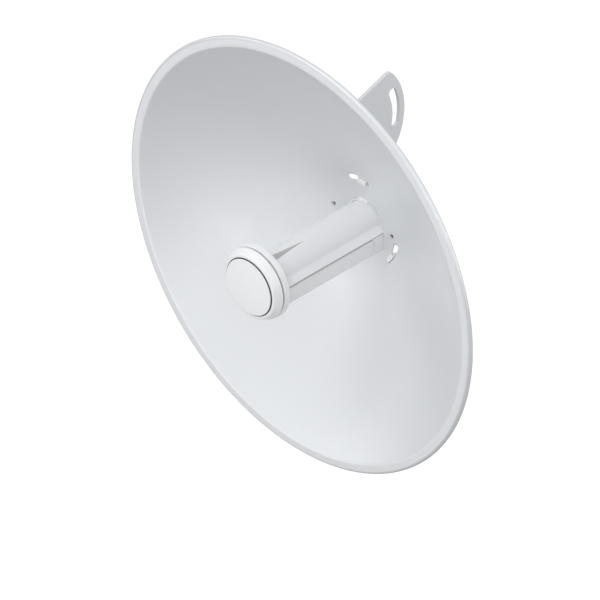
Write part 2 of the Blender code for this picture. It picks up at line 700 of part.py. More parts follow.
def housing_box(inset, front, rear):
    return prism(cut_corner_box(HOUSING_HALF_WIDTH, HOUSING_BOTTOM, HOUSING_TOP, inset), "Y", front, rear)


def cover_rails():
    """Two rails and a top stop that the port cover slides in."""
    inner = COVER_HALF_WIDTH + GAP
    outer = inner + 3 * MM
    lip_front = HOUSING_REAR + COVER_THICKNESS + 2 * GAP
    lip_rear = lip_front + 2 * MM
    low, high = -19 * MM, COVER_TOP + GAP + 2 * MM
    rails = [block((-outer, HOUSING_REAR - MM, COVER_TOP + GAP), (outer, lip_rear, high))]
    for side in (-1, 1):
        stem = sorted((side * inner, side * outer))
        lip = sorted((side * (inner - 2.5 * MM), side * outer))
        rails.append(block((stem[0], HOUSING_REAR - MM, low), (stem[1], lip_rear, high)))
        rails.append(block((lip[0], lip_front, low), (lip[1], lip_rear, high)))
    return rails


def make_rear_housing():
    housing = piece("rear_housing", housing_box(0, HOUSING_FRONT, HOUSING_REAR), white_plastic(),
                    location=DISH_ORIGIN)
    ear_rear = HOUSING_FRONT + EAR_THICKNESS
    top_ear = block((-10 * MM, HOUSING_FRONT, HOUSING_TOP - MM), (10 * MM, ear_rear, 35.4 * MM))
    bottom_ear = block((-9 * MM, HOUSING_FRONT, -37.4 * MM), (9 * MM, ear_rear, HOUSING_BOTTOM + MM))
    weld(housing, top_ear, bottom_ear, *cover_rails())
    port = rectangle(-16.5 * MM, 16.5 * MM, -17.5 * MM, 16.5 * MM)
    length, height = BUTTON_HOLE
    cut(housing,
        housing_box(HOUSING_WALL, HOUSING_FRONT - MM, HOUSING_REAR - HOUSING_WALL),
        *[rod(2 * MM, HOUSING_FRONT - MM, ear_rear + MM, steps=12, offset=(x, 0, z))
          for x, z in HOUSING_SCREWS])
    cut(housing,
        prism(port, "Y", HOUSING_REAR - HOUSING_WALL - MM, HOUSING_REAR + MM),
        *[block((x - 3 * MM, BUTTON_Y - length, BUTTON_Z - height),
                (x + 3 * MM, BUTTON_Y + length, BUTTON_Z + height))
          for x in (-HOUSING_HALF_WIDTH, HOUSING_HALF_WIDTH)],
        rod(6 * MM, HOUSING_BOTTOM - MM, HOUSING_BOTTOM + 4 * MM, "Z", 24, (0, GROMMET_Y, 0)))
    make_housing_screws(ear_rear + GAP)
    make_grommet()
    make_port_cover()
    make_release_buttons()


def make_housing_screws(face):
    """Four screws through the housing's ears into the hub's flange."""
    tip = HUB_FLANGE_FRONT + 0.3 * MM
    shank, head = 1.6 * MM, 2.6 * MM
    profile = [(0, tip), (shank, tip), (shank, face), (head, face), (head, face + 1.5 * MM),
               (head - 0.8 * MM, face + 2.1 * MM), (0, face + 2.1 * MM)]
    shared = None
    for number, (x, z) in enumerate(HOUSING_SCREWS, 1):
        here = DISH_ORIGIN + Vector((x, 0, z))
        if shared is None:
            shared = piece(f"housing_screw_{number}", turned(profile, 20), zinc(), location=here).data
        else:
            place(f"housing_screw_{number}", shared, None, here)


def make_grommet():
    """A rubber bush in the housing's floor, where the network cable comes in."""
    low, high = HOUSING_BOTTOM - GAP, HOUSING_BOTTOM + HOUSING_WALL + GAP
    bore, neck, lip = 3.2 * MM, 5.7 * MM, 8 * MM
    piece("cable_grommet",
          turned([(bore, low - 2 * MM), (lip, low - 2 * MM), (lip, low), (neck, low), (neck, high),
                  (lip, high), (lip, high + 1.5 * MM), (bore, high + 1.5 * MM)], 24, "Z"),
          dark_rubber(), None, DISH_ORIGIN + Vector((0, GROMMET_Y, 0)))


def make_port_cover():
    """A plate that slides down its rails to open the socket bay."""
    front = HOUSING_REAR + GAP
    slide = empty("port_cover_axis", DISH_ORIGIN + Vector((0, front, 0)))
    outline = rectangle(-COVER_HALF_WIDTH, COVER_HALF_WIDTH, COVER_BOTTOM, COVER_TOP)
    cover = piece("port_cover", prism(outline, "Y", 0, COVER_THICKNESS), white_plastic(), slide)
    ridge_half, foot, crest = 10 * MM, COVER_THICKNESS - 0.5 * MM, COVER_THICKNESS + 1.2 * MM
    weld(cover, *[
        block((-ridge_half, foot, z), (ridge_half, crest, z + 1.4 * MM))
        for z in (-16 * MM, -12.5 * MM, -9 * MM)
    ])


def spring_wire(length, coil_radius, wire_radius, turns, sides=5, steps=10):
    """A compression spring along +X, worked out point by point along its helix."""
    bm = bmesh.new()
    rings = []
    for i in range(turns * steps + 1):
        share = i / (turns * steps)
        angle = math.tau * turns * share
        out = Vector((0, math.cos(angle), math.sin(angle)))
        centre = Vector((wire_radius + share * (length - 2 * wire_radius), 0, 0)) + out * coil_radius
        ring = []
        for k in range(sides):
            swing = math.tau * k / sides
            spoke = out * math.cos(swing) + Vector((math.sin(swing), 0, 0))
            ring.append(bm.verts.new(centre + spoke * wire_radius))
        rings.append(ring)
    for ring, following in zip(rings, rings[1:]):
        for k in range(sides):
            bm.faces.new((ring[k], ring[(k + 1) % sides], following[(k + 1) % sides], following[k]))
    bm.faces.new(rings[0])
    bm.faces.new(rings[-1])
    bmesh.ops.recalc_face_normals(bm, faces=bm.faces)
    return bm


def make_release_buttons():
    """A sprung button on each side of the housing, pushed inwards to free the feed."""
    sleeve_x = TUBE_HALF_WIDTH + HUB_CLEARANCE + HUB_WALL - NECK_STEP
    length, height = BUTTON_HOLE[0] - GAP, BUTTON_HOLE[1] - GAP
    foot_lip, foot_depth = 1.2 * MM, 1.3 * MM
    foot_outer = HOUSING_HALF_WIDTH - HOUSING_WALL - GAP
    foot_inner = foot_outer - foot_depth
    face = HOUSING_HALF_WIDTH + BUTTON_PROUD
    head = rounded(rectangle(-length, length, -height, height), 2 * MM, steps=3)
    foot = rectangle(-length - foot_lip, length + foot_lip, -height - foot_lip, height + foot_lip)
    for side, word in ((-1, "left"), (1, "right")):
        axis = empty(f"release_{word}_axis", DISH_ORIGIN + Vector((side * face, BUTTON_Y, BUTTON_Z)))
        button = piece(f"release_button_{word}",
                       prism(foot, "X", side * (foot_outer - face), side * (foot_inner - face)),
                       white_plastic(), axis)
        weld(button, prism(head, "X", 0, side * (foot_outer - face - 0.5 * MM)))
        coil = spring_wire(foot_inner - sleeve_x - 2 * GAP, 3.3 * MM, 0.35 * MM, 4)
        spring = piece(f"release_spring_{word}", coil, zinc(),
                       location=DISH_ORIGIN + Vector((side * (sleeve_x + GAP), BUTTON_Y, BUTTON_Z)))
        spring.rotation_euler = (0, 0, 0 if side > 0 else math.pi)


# The whole object ----------------------------------------------------------------------------------------

def main():
    for obj in list(bpy.data.objects):
        bpy.data.objects.remove(obj, do_unlink=True)
    feed = empty("feed_axis", DISH_ORIGIN)
    make_dish()
    make_hub()
    make_dish_bracket()
    make_rear_housing()
    make_feed_shells(feed)
    make_feed_cap(feed)
    make_feed_insides(feed)


main()
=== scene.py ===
"""Looks of the outdoor wireless bridge: fine shells, rolled rim, softened edges and procedural finishes."""
import math

import bmesh
import bpy
from mathutils import Matrix, Vector


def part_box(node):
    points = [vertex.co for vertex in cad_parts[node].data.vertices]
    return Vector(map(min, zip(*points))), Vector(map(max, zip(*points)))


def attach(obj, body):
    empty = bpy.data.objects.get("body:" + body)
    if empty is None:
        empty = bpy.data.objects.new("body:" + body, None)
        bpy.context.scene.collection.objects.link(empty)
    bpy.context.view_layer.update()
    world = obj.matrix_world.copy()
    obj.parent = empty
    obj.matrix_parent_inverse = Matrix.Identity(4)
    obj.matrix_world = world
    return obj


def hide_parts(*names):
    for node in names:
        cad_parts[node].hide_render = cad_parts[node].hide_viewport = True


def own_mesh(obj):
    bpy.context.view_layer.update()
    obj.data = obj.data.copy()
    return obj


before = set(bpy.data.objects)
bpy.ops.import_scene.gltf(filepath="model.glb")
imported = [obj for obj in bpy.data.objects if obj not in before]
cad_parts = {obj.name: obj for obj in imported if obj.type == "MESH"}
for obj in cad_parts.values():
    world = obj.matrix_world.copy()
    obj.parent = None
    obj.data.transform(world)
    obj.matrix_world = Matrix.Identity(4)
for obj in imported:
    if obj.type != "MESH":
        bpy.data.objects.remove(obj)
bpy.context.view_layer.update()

MM = 0.001
GAP = 0.3 * MM
TINY = 1e-7                         # metres, far below the length of any edge
OVER = 1 * MM                       # how far a cutting solid stands out past what it cuts
BITE = 0.5 * MM                     # how far a welded solid sinks into the other one
MIDDLE = (0, 0)

# The dish frame: x to the right seen from the front, y rearwards, z up; the rim's front plane is at RIM_FRONT
RIM_FRONT = -1.2 * MM
RIM_LOW, RIM_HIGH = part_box("dish_reflector")
DISH = Vector(((RIM_LOW.x + RIM_HIGH.x) / 2, RIM_LOW.y - RIM_FRONT, (RIM_LOW.z + RIM_HIGH.z) / 2))


def span(node):
    """Lowest and highest corner of a CAD node in the dish frame."""
    low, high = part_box(node)
    return low - DISH, high - DISH


def middle(node):
    """Middle of a CAD node in the dish frame, as (x, y, z)."""
    low, high = span(node)
    return [(a + b) / 2 for a, b in zip(low, high)]


# Outlines: lists of (a, b) points ---------------------------------------------------------------------------

def on_circle(centre, radius, degrees):
    angle = math.radians(degrees)
    return centre[0] + radius * math.cos(angle), centre[1] + radius * math.sin(angle)


def arc(centre, radius, start, end, steps):
    """Points on an arc, with its angles in degrees and both ends included."""
    return [on_circle(centre, radius, start + (end - start) * i / steps) for i in range(steps + 1)]


def ring_part(outer, inner, start, end, steps):
    """A stretch of a ring about the middle, between two angles in degrees."""
    return arc(MIDDLE, outer, start, end, steps) + arc(MIDDLE, inner, end, start, steps)


def curve(start, corner, end, steps):
    """Points on a parabola from start to end that sets out and arrives along the lines to corner."""
    start, corner, end = Vector(start), Vector(corner), Vector(end)
    points = []
    for i in range(steps + 1):
        share = i / steps
        points.append(tuple(start.lerp(corner, share).lerp(corner.lerp(end, share), share)))
    return points


def rectangle(low_a, high_a, low_b, high_b):
    return [(low_a, low_b), (high_a, low_b), (high_a, high_b), (low_a, high_b)]


def rounded(outline, radius, corners=None, steps=8):
    """The outline with its corners, or those with the given indices, turned into arcs."""
    result = []
    for i, corner in enumerate(outline):
        if corners is not None and i not in corners:
            result.append(corner)
            continue
        here = Vector(corner)
        to_last = (Vector(outline[i - 1]) - here).normalized()
        to_next = (Vector(outline[(i + 1) % len(outline)]) - here).normalized()
        half = to_last.angle(to_next) / 2
        centre = here + (to_last + to_next).normalized() * radius / math.sin(half)
        first = here + to_last * radius / math.tan(half) - centre
        last = here + to_next * radius / math.tan(half) - centre
        for k in range(steps + 1):
            spoke = first.slerp(last, k / steps).normalized() * radius
            result.append(tuple(centre + spoke))
    return result


def mirrored(half):
    """A half outline with a >= 0, from top to bottom, closed by its mirror image."""
    return half + [(-a, b) for a, b in reversed(half) if a > TINY]


# Solids: bmeshes --------------------------------------------------------------------------------------------

def spot(axis, a, b, along):
    """A point whose outline coordinates are a and b, at a distance along the named axis."""
    return {"X": (along, a, b), "Y": (a, along, b)}[axis]


def prism(outline, axis, start, end):
    """The outline extruded along an axis: its points are (y, z) for X and (x, z) for Y."""
    bm = bmesh.new()
    floor = bm.faces.new([bm.verts.new(spot(axis, a, b, start)) for a, b in outline])
    grown = bmesh.ops.extrude_face_region(bm, geom=[floor])["geom"]
    top = [item for item in grown if isinstance(item, bmesh.types.BMVert)]
    bmesh.ops.translate(bm, verts=top, vec=spot(axis, 0, 0, end - start))
    bmesh.ops.recalc_face_normals(bm, faces=bm.faces)
    return bm


def turned(profile, steps, axis="Y", centre=(0, 0, 0)):
    """A closed profile of (radius, height) points spun about the Y or Z axis through centre."""
    bm = bmesh.new()
    verts = [bm.verts.new((radius, height, 0)) for radius, height in profile]
    edges = [bm.edges.new(pair) for pair in zip(verts, verts[1:])]
    if profile[0][0] > 0:
        edges.append(bm.edges.new((verts[-1], verts[0])))
    bmesh.ops.spin(
        bm, geom=verts + edges, cent=(0, 0, 0), axis=(0, 1, 0), angle=math.tau, steps=steps, use_merge=True
    )
    bmesh.ops.remove_doubles(bm, verts=bm.verts, dist=TINY)
    bmesh.ops.recalc_face_normals(bm, faces=bm.faces)
    if axis == "Z":
        bmesh.ops.rotate(bm, verts=bm.verts, cent=(0, 0, 0), matrix=Matrix.Rotation(math.pi / 2, 3, "X"))
    bmesh.ops.translate(bm, verts=bm.verts, vec=centre)
    return bm


def rod(radius, start, end, axis="Y", steps=48, centre=(0, 0, 0)):
    return turned([(0, start), (radius, start), (radius, end), (0, end)], steps, axis, centre)


def block(low, high):
    return prism(rectangle(low[0], high[0], low[2], high[2]), "Y", low[1], high[1])


def skin(bm, rings):
    """Joins rings of vertices, one after the other, into a closed solid."""
    for ring, following in zip(rings, rings[1:]):
        for k in range(len(ring)):
            after = (k + 1) % len(ring)
            bm.faces.new((ring[k], ring[after], following[after], following[k]))
    bm.faces.new(rings[0])
    bm.faces.new(rings[-1])
    bmesh.ops.recalc_face_normals(bm, faces=bm.faces)
    return bm


def tube_along(points, radius, sides):
    """A round wire along a list of points, with closed ends."""
    bm = bmesh.new()
    rings = []
    points = [Vector(point) for point in points]
    across = None
    for i, here in enumerate(points):
        ahead = (points[min(i + 1, len(points) - 1)] - points[max(i - 1, 0)]).normalized()
        across = ahead.orthogonal() if across is None else across - ahead * across.dot(ahead)
        across.normalize()
        other = ahead.cross(across)
        ring = []
        for k in range(sides):
            swing = math.tau * k / sides
            ring.append(bm.verts.new(here + (across * math.cos(swing) + other * math.sin(swing)) * radius))
        rings.append(ring)
    return skin(bm, rings)


# Objects ----------------------------------------------------------------------------------------------------

def shape(name, bm):
    """A bmesh as an object in the dish frame."""
    mesh = bpy.data.meshes.new(name)
    bm.to_mesh(mesh)
    bm.free()
    made = bpy.data.objects.new(name, mesh)
    bpy.context.scene.collection.objects.link(made)
    made.location = DISH
    return made


def settle(obj):
    """Turns an object's modifiers into its mesh."""
    bpy.context.view_layer.update()
    seen = obj.evaluated_get(bpy.context.evaluated_depsgraph_get())
    mesh = bpy.data.meshes.new_from_object(seen)
    spent = obj.data
    obj.modifiers.clear()
    obj.data = mesh
    bpy.data.meshes.remove(spent)
    mesh.name = obj.name


def combine(obj, operation, *solids):
    """Cuts solids from an object, or welds them to it, one after the other."""
    for solid in solids:
        tool = shape("tool", solid)
        change = obj.modifiers.new(operation, "BOOLEAN")
        change.operation = operation
        change.solver = "EXACT"
        change.object = tool
        settle(obj)
        spent = tool.data
        bpy.data.objects.remove(tool)
        bpy.data.meshes.remove(spent)


def cut(obj, *solids):
    combine(obj, "DIFFERENCE", *solids)


def weld(obj, *solids):
    combine(obj, "UNION", *solids)


def soften(obj, width, segments, angle=40):
    """Rounds the edges sharper than an angle."""
    change = obj.modifiers.new("soften", "BEVEL")
    change.width = width
    change.segments = segments
    change.limit_method = "ANGLE"
    change.angle_limit = math.radians(angle)
    settle(obj)


def mount(obj, look, body, nodes, smooth=38):
    """Shades a piece, gives it its finish and lets it ride in place of its CAD nodes."""
    obj.data.materials.clear()
    obj.data.materials.append(look)
    obj.data.shade_smooth()
    obj.data.set_sharp_from_angle(angle=math.radians(smooth))
    even = obj.modifiers.new("even", "WEIGHTED_NORMAL")
    even.keep_sharp = True
    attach(obj, body)
    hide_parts(*nodes)


def repaint(obj, look, wanted):
    """Gives the faces that pass a test a finish of their own."""
    obj.data.materials.append(look)
    for face in obj.data.polygons:
        if wanted(face.center, face.normal):
            face.material_index = len(obj.data.materials) - 1


# Finishes ---------------------------------------------------------------------------------------------------

CLOUD_SCALE, CLOUD_DETAIL = 14, 3
GLOSS_SCALE, GLOSS_DETAIL = 90, 4
GRAIN_DETAIL, GRAIN_DEPTH = 2, 0.1 * MM
GLOSS_FROM, GLOSS_TO = 0.3, 0.7     # the noise levels where the gloss reaches its two ends


def finish(name, colour, roughness, metallic=0.0, drift=0.03, grain=0.0, grain_size=1.0, rough_drift=0.05,
           transmission=0.0, specular=0.5):
    """A Principled finish with a slow drift of colour and gloss and a fine surface grain, sized in mm."""
    made = bpy.data.materials.new(name)
    made.use_nodes = True
    nodes, links = made.node_tree.nodes, made.node_tree.links
    shader = nodes["Principled BSDF"]
    shader.inputs["Metallic"].default_value = metallic
    shader.inputs["Specular IOR Level"].default_value = specular
    shader.inputs["Transmission Weight"].default_value = transmission
    place = nodes.new("ShaderNodeTexCoord").outputs["Object"]

    def noise(scale, detail):
        made_noise = nodes.new("ShaderNodeTexNoise")
        made_noise.inputs["Scale"].default_value = scale
        made_noise.inputs["Detail"].default_value = detail
        links.new(place, made_noise.inputs["Vector"])
        return made_noise.outputs["Fac"]

    clouds = noise(CLOUD_SCALE, CLOUD_DETAIL)
    shade = nodes.new("ShaderNodeMix")
    shade.data_type = "RGBA"
    shade.inputs["A"].default_value = (*(channel * (1 - drift) for channel in colour), 1)
    shade.inputs["B"].default_value = (*(min(1, channel * (1 + drift)) for channel in colour), 1)
    links.new(clouds, shade.inputs["Factor"])
    links.new(shade.outputs["Result"], shader.inputs["Base Color"])

    gloss = nodes.new("ShaderNodeMapRange")
    gloss.inputs["From Min"].default_value = GLOSS_FROM
    gloss.inputs["From Max"].default_value = GLOSS_TO
    gloss.inputs["To Min"].default_value = roughness - rough_drift
    gloss.inputs["To Max"].default_value = roughness + rough_drift
    links.new(noise(GLOSS_SCALE, GLOSS_DETAIL), gloss.inputs["Value"])
    links.new(gloss.outputs["Result"], shader.inputs["Roughness"])

    if grain > 0:
        bump = nodes.new("ShaderNodeBump")
        bump.inputs["Strength"].default_value = grain
        bump.inputs["Distance"].default_value = GRAIN_DEPTH
        links.new(noise(1 / (grain_size * MM), GRAIN_DETAIL), bump.inputs["Height"])
        links.new(bump.outputs["Normal"], shader.inputs["Normal"])
    return made


def dish_finish(name, colour):
    """The dish's satin paint over metal, in a given colour: the plain coat, or its darker and lighter copies
    that paint shade and highlight.
    """
    return finish(name, colour, 0.50, metallic=0.45, grain=0.25, grain_size=1.3, drift=0.008, specular=1.0)


# Painted shade: a darker copy of the dish's coat for the rolled rim's outside and the dish's back
SHADED_OUTER_COAT = dish_finish("dish_outer_painted_shade", (0.76, 0.77, 0.785))
# Painted highlight: a lighter copy of the dish's coat for the lip's front faces
HIGHLIT_LIP_COAT = dish_finish("dish_lip_painted_highlight", (0.87, 0.88, 0.895))
DISH_COAT = dish_finish("dish_coat", (0.80, 0.81, 0.825))
WHITE = finish("white_moulding", (0.82, 0.825, 0.83), 0.20, grain=0.04, grain_size=0.9, drift=0.006,
               rough_drift=0.02)
# Bright white of the front disc, also used as painted highlight on the hub's front faces and the bracket's
# hooks
WHITE_DISC_AND_HIGHLIGHT = finish("white_disc_and_painted_highlight", (0.90, 0.905, 0.91), 0.34, grain=0.12, grain_size=0.5, drift=0.008)
# Painted shade: a dark grey copy of the white moulding, for the groove's floor and the recess under the seam
PAINTED_SHADE_WHITE = finish("white_painted_shade", (0.46, 0.465, 0.47), 0.55, grain=0.15, grain_size=0.5, drift=0.006)
WHITE_FINE = finish("white_satin_moulding", (0.88, 0.885, 0.89), 0.34, grain=0.12, grain_size=0.5,
                    drift=0.008)
BRACKET_COAT = finish("bracket_coat", (0.72, 0.73, 0.74), 0.46, grain=0.3, grain_size=1.1, drift=0.01)
ZINC = finish("zinc_plate", (0.62, 0.63, 0.65), 0.30, metallic=1.0, drift=0.06, rough_drift=0.1)
# Black rubber for the grommet, also painted shade in the band round the front disc
BLACK_RUBBER_AND_SHADE = finish("black_rubber_and_painted_shade", (0.035, 0.035, 0.037), 0.62, grain=0.3, grain_size=0.4, drift=0.1)
SEAL = finish("seal_rubber", (0.36, 0.365, 0.37), 0.65, grain=0.2, grain_size=0.4)
TIN = finish("bright_tin", (0.75, 0.76, 0.77), 0.24, metallic=1.0, drift=0.03, grain=0.1, grain_size=2.0)
CAST = finish("cast_aluminium", (0.62, 0.63, 0.64), 0.5, metallic=1.0, grain=0.5, grain_size=0.6)
# Black moulding for the reset parts, also painted shade on the lock screws' tips
BLACK_PLASTIC_AND_SHADE = finish("black_moulding_and_painted_shade", (0.03, 0.03, 0.033), 0.38, grain=0.2, grain_size=0.5, drift=0.08)
CLEAR = finish("clear_moulding", (0.80, 0.88, 0.95), 0.08, transmission=0.85, rough_drift=0.02)
BOARD = finish("circuit_board", (0.015, 0.11, 0.045), 0.32, grain=0.3, grain_size=1.6, drift=0.25)


# The dish ---------------------------------------------------------------------------------------------------

RIM_RADIUS = (RIM_HIGH.x - RIM_LOW.x) / 2
RIM_WIDTH = 10 * MM
APERTURE_RADIUS = RIM_RADIUS - RIM_WIDTH
BOWL_FLOOR = 80.5 * MM
BOWL_START, BOWL_RINGS = 12 * MM, 56
DISH_SHEET = 1.4 * MM
BEAD_RADIUS = 2.8 * MM
BEAD_END = 75                       # degrees, where the rolled sheet ends
KNEE = 1.4 * MM                     # reach of the bend between bowl and lip
DISH_STEPS = 288
DISH_CUT = (60 * MM, 90 * MM)       # depths between which the dish's openings are cut
FOCAL_LENGTH = APERTURE_RADIUS ** 2 / (4 * (BOWL_FLOOR - RIM_FRONT))
SLOT_CIRCLE = 43 * MM
SLOT_START, SLOT_STEP, SLOT_END = 112, 97, 79
SLOT_MOUTH, SLOT_TAIL = 7.1 * MM, 3.7 * MM
SLOT_TURNS = (0, -120, -237)
SLOT_CORNER = 0.3 * MM
# How far the dish's opening stands off the tube: over its top, and round its belly
OPENING_REACH, OPENING_BELLY = 2.4 * MM, 0.06 * MM
LOCK_HOLES = 36 * MM
LOCK_HOLE_RADIUS = 2.2 * MM
FACING = 0.9                        # how squarely a face has to look forwards to count as a front face


def bowl_y(radius):
    """Where the bowl's front surface lies in the dish frame."""
    return BOWL_FLOOR - radius ** 2 / (4 * FOCAL_LENGTH)


def dish_profile():
    """Front surface outwards over a soft knee to the lip, round the rolled rim, and back behind."""
    width = APERTURE_RADIUS - KNEE - BOWL_START
    radii = [BOWL_START + width * i / BOWL_RINGS for i in range(BOWL_RINGS + 1)]
    front = [(radius, bowl_y(radius)) for radius in radii]
    front += curve(front[-1], (APERTURE_RADIUS, RIM_FRONT), (APERTURE_RADIUS + KNEE, RIM_FRONT), 8)[1:]
    roll = (RIM_RADIUS - BEAD_RADIUS, RIM_FRONT + BEAD_RADIUS)
    outer_roll = arc(roll, BEAD_RADIUS, -90, BEAD_END, 20)
    inner_roll = arc(roll, BEAD_RADIUS - DISH_SHEET, BEAD_END, -90, 12)
    under = [(APERTURE_RADIUS + 2.1 * DISH_SHEET, RIM_FRONT + DISH_SHEET)]
    rear = []
    for radius in reversed(radii):
        lean = radius / (2 * FOCAL_LENGTH)
        normal = Vector((lean, 1)).normalized() * DISH_SHEET
        rear.append((radius + normal.x, bowl_y(radius) + normal.y))
    return front + outer_roll + inner_roll + under + rear


def keyhole(turn):
    """One keyhole slot, turned by an angle in degrees, with the two corners at its mouth's end rounded."""
    start, step, end = SLOT_START + turn, SLOT_STEP + turn, SLOT_END + turn
    half_mouth, half_tail = SLOT_MOUTH / 2, SLOT_TAIL / 2
    outline = (
        arc(MIDDLE, SLOT_CIRCLE + half_mouth, start, step, 8)
        + ring_part(SLOT_CIRCLE + half_tail, SLOT_CIRCLE - half_tail, step, end, 10)
        + arc(MIDDLE, SLOT_CIRCLE - half_mouth, step, start, 8)
    )
    return rounded(outline, SLOT_CORNER, corners=(0, len(outline) - 1), steps=5)


def make_dish():
    dish = shape("dish", turned(dish_profile(), DISH_STEPS))
    keyholes = [prism(keyhole(turn), "Y", *DISH_CUT) for turn in SLOT_TURNS]
    foot = TUBE_SEAM - HUB_CLEARANCE
    opening = mirrored(tube_top(OPENING_REACH, foot) + tube_box(OPENING_BELLY, foot))
    cut(dish, prism(opening, "Y", *DISH_CUT), *keyholes, *lock_rods(LOCK_HOLE_RADIUS, *DISH_CUT, steps=32))
    mount(dish, DISH_COAT, "dish_assembly", ["dish_reflector"], smooth=50)

    def outside(centre, normal):
        radius = math.hypot(centre.x, centre.z)
        return radius > RIM_RADIUS - BEAD_RADIUS or centre.y > bowl_y(radius) + 0.6 * DISH_SHEET

    def highlit_lip(centre, normal):
        radius = math.hypot(centre.x, centre.z)
        return normal.y < -FACING and APERTURE_RADIUS < radius < RIM_RADIUS - BEAD_RADIUS

    # Painted shade: the rolled rim's outside and the dish's back get the darker copy of the coat
    repaint(dish, SHADED_OUTER_COAT, outside)
    # Painted highlight: the lip's front faces get the lighter copy of the coat
    repaint(dish, HIGHLIT_LIP_COAT, highlit_lip)


# The tube's cross section -----------------------------------------------------------------------------------

TUBE_RADIUS = 18.2 * MM
FACET_REACH = 20.95 * MM
TUBE_HALF_WIDTH = 24 * MM
TUBE_BOTTOM = -23.2 * MM
TUBE_CORNER = 5 * MM
TUBE_WALL = 2 * MM
TUBE_SEAM = -3.05 * MM
NECK_STEP = 2.5 * MM
TUBE_FRONT = -50 * MM
NECK_START = 68 * MM
TUBE_REAR = 100 * MM
BARREL_STEPS, CORNER_STEPS = 40, 12
CREASE_ANGLE, CREASE_STEPS = 4, 6
SEAM_LIP = 0.7 * MM                 # radius under the facet's lower edge
DRAW_IN, DRAW_HEIGHT = 1.0 * MM, 3.6 * MM              # the recess under the seam
DRAW_UPRIGHT = 0.65                 # the share of the recess's height that stands upright


def tube_top(grow, foot, crease=False):
    """Right half of the tube's upper outline; crease rounds the hollow between barrel and facet."""
    radius = TUBE_RADIUS + grow
    reach = FACET_REACH + grow * math.sqrt(2)
    shoulder_x = (reach + math.sqrt(2 * radius ** 2 - reach ** 2)) / 2
    shoulder = math.degrees(math.acos(shoulder_x / radius))
    points = arc(MIDDLE, radius, 90, shoulder, BARREL_STEPS)
    edge_x = min(TUBE_HALF_WIDTH + grow, reach - foot)
    if crease:
        corner = Vector(points[-1])
        before = Vector(on_circle(MIDDLE, radius, shoulder + CREASE_ANGLE))
        after = corner + Vector((1, -1)).normalized() * (corner - before).length
        points = [point for point in points if Vector(point).y > before.y]
        points += curve(before, corner, after, CREASE_STEPS)
    points.append((edge_x, reach - edge_x))
    if reach - edge_x > foot + TINY:
        points.append((edge_x, foot))
    return points


def tube_box(grow, top):
    """Right half of the tube's lower outline, from height top to the middle of the floor."""
    width = TUBE_HALF_WIDTH + grow
    bottom = TUBE_BOTTOM - grow
    radius = TUBE_CORNER + grow
    return [(width, top)] + arc((width - radius, bottom + radius), radius, 0, -90, CORNER_STEPS)


def make_upper_shell():
    """The round-topped shell with its two facets and the thumb groove that tapers out along its crest."""
    reach = FACET_REACH - TUBE_WALL * math.sqrt(2)
    outer = tube_top(0, TUBE_SEAM, crease=True)
    # The facet's lower edge is rounded under, so that a fine shadow line shows along the seam
    edge_x, edge_z = outer[-1]
    outer = outer[:-1] + arc((edge_x - 1.2 * SEAM_LIP, edge_z + 0.5 * SEAM_LIP), SEAM_LIP, 40, -90, 6)
    outer = [(min(a, edge_x), max(b, TUBE_SEAM)) for a, b in outer]
    inner = tube_top(-TUBE_WALL, TUBE_SEAM)[:-1] + [(reach - TUBE_SEAM, TUBE_SEAM)]
    outline = outer + list(reversed(inner)) + [(-a, b) for a, b in inner[1:]]
    outline += [(-a, b) for a, b in reversed(outer[1:])]
    shell = shape("tube_shell_upper", prism(outline, "Y", TUBE_FRONT, TUBE_REAR))
    # A thicker patch of wall inside keeps the shell whole under the groove
    patch = ring_part(TUBE_RADIUS - TUBE_WALL + BITE, TUBE_RADIUS - 2.2 * TUBE_WALL, *GROOVE_PATCH, 12)
    weld(shell, prism(patch, "Y", TUBE_FRONT + 0.5 * MM, GROOVE_TIP + 2.5 * MM))
    cut(shell, thumb_groove())
    mount(shell, WHITE, "feed", ["feed_shell_upper"], smooth=30)

    def groove_shade(centre, normal):
        sunk = math.hypot(centre.x, centre.z) < TUBE_RADIUS - 0.05 * MM
        upwards = centre.z > TUBE_RADIUS - TUBE_WALL - GROOVE_DEPTH and normal.z > 0.3
        within = abs(centre.x) < GROOVE_RIGHT + 0.4 * MM and centre.y < GROOVE_TIP + 0.5 * MM
        return sunk and upwards and within

    # Painted shade: the groove's floor is painted dark grey where shade falls in it
    repaint(shell, PAINTED_SHADE_WHITE, groove_shade)


GROOVE_START, GROOVE_TIP, GROOVE_TIP_X = -46.9 * MM, 1.5 * MM, 3.8 * MM
GROOVE_LEFT, GROOVE_RIGHT, GROOVE_DEPTH = -1.6 * MM, 7.6 * MM, 2.2 * MM
GROOVE_ROWS, GROOVE_COLUMNS = 30, 14
GROOVE_LIFT = 0.08 * MM             # how far the cutter's shallow side stands off the barrel
GROOVE_PATCH = (98, 54)             # degrees, where the thicker wall under the groove starts and ends


def barrel_z(x):
    """Height of the tube's round top."""
    return math.sqrt(TUBE_RADIUS ** 2 - x ** 2)


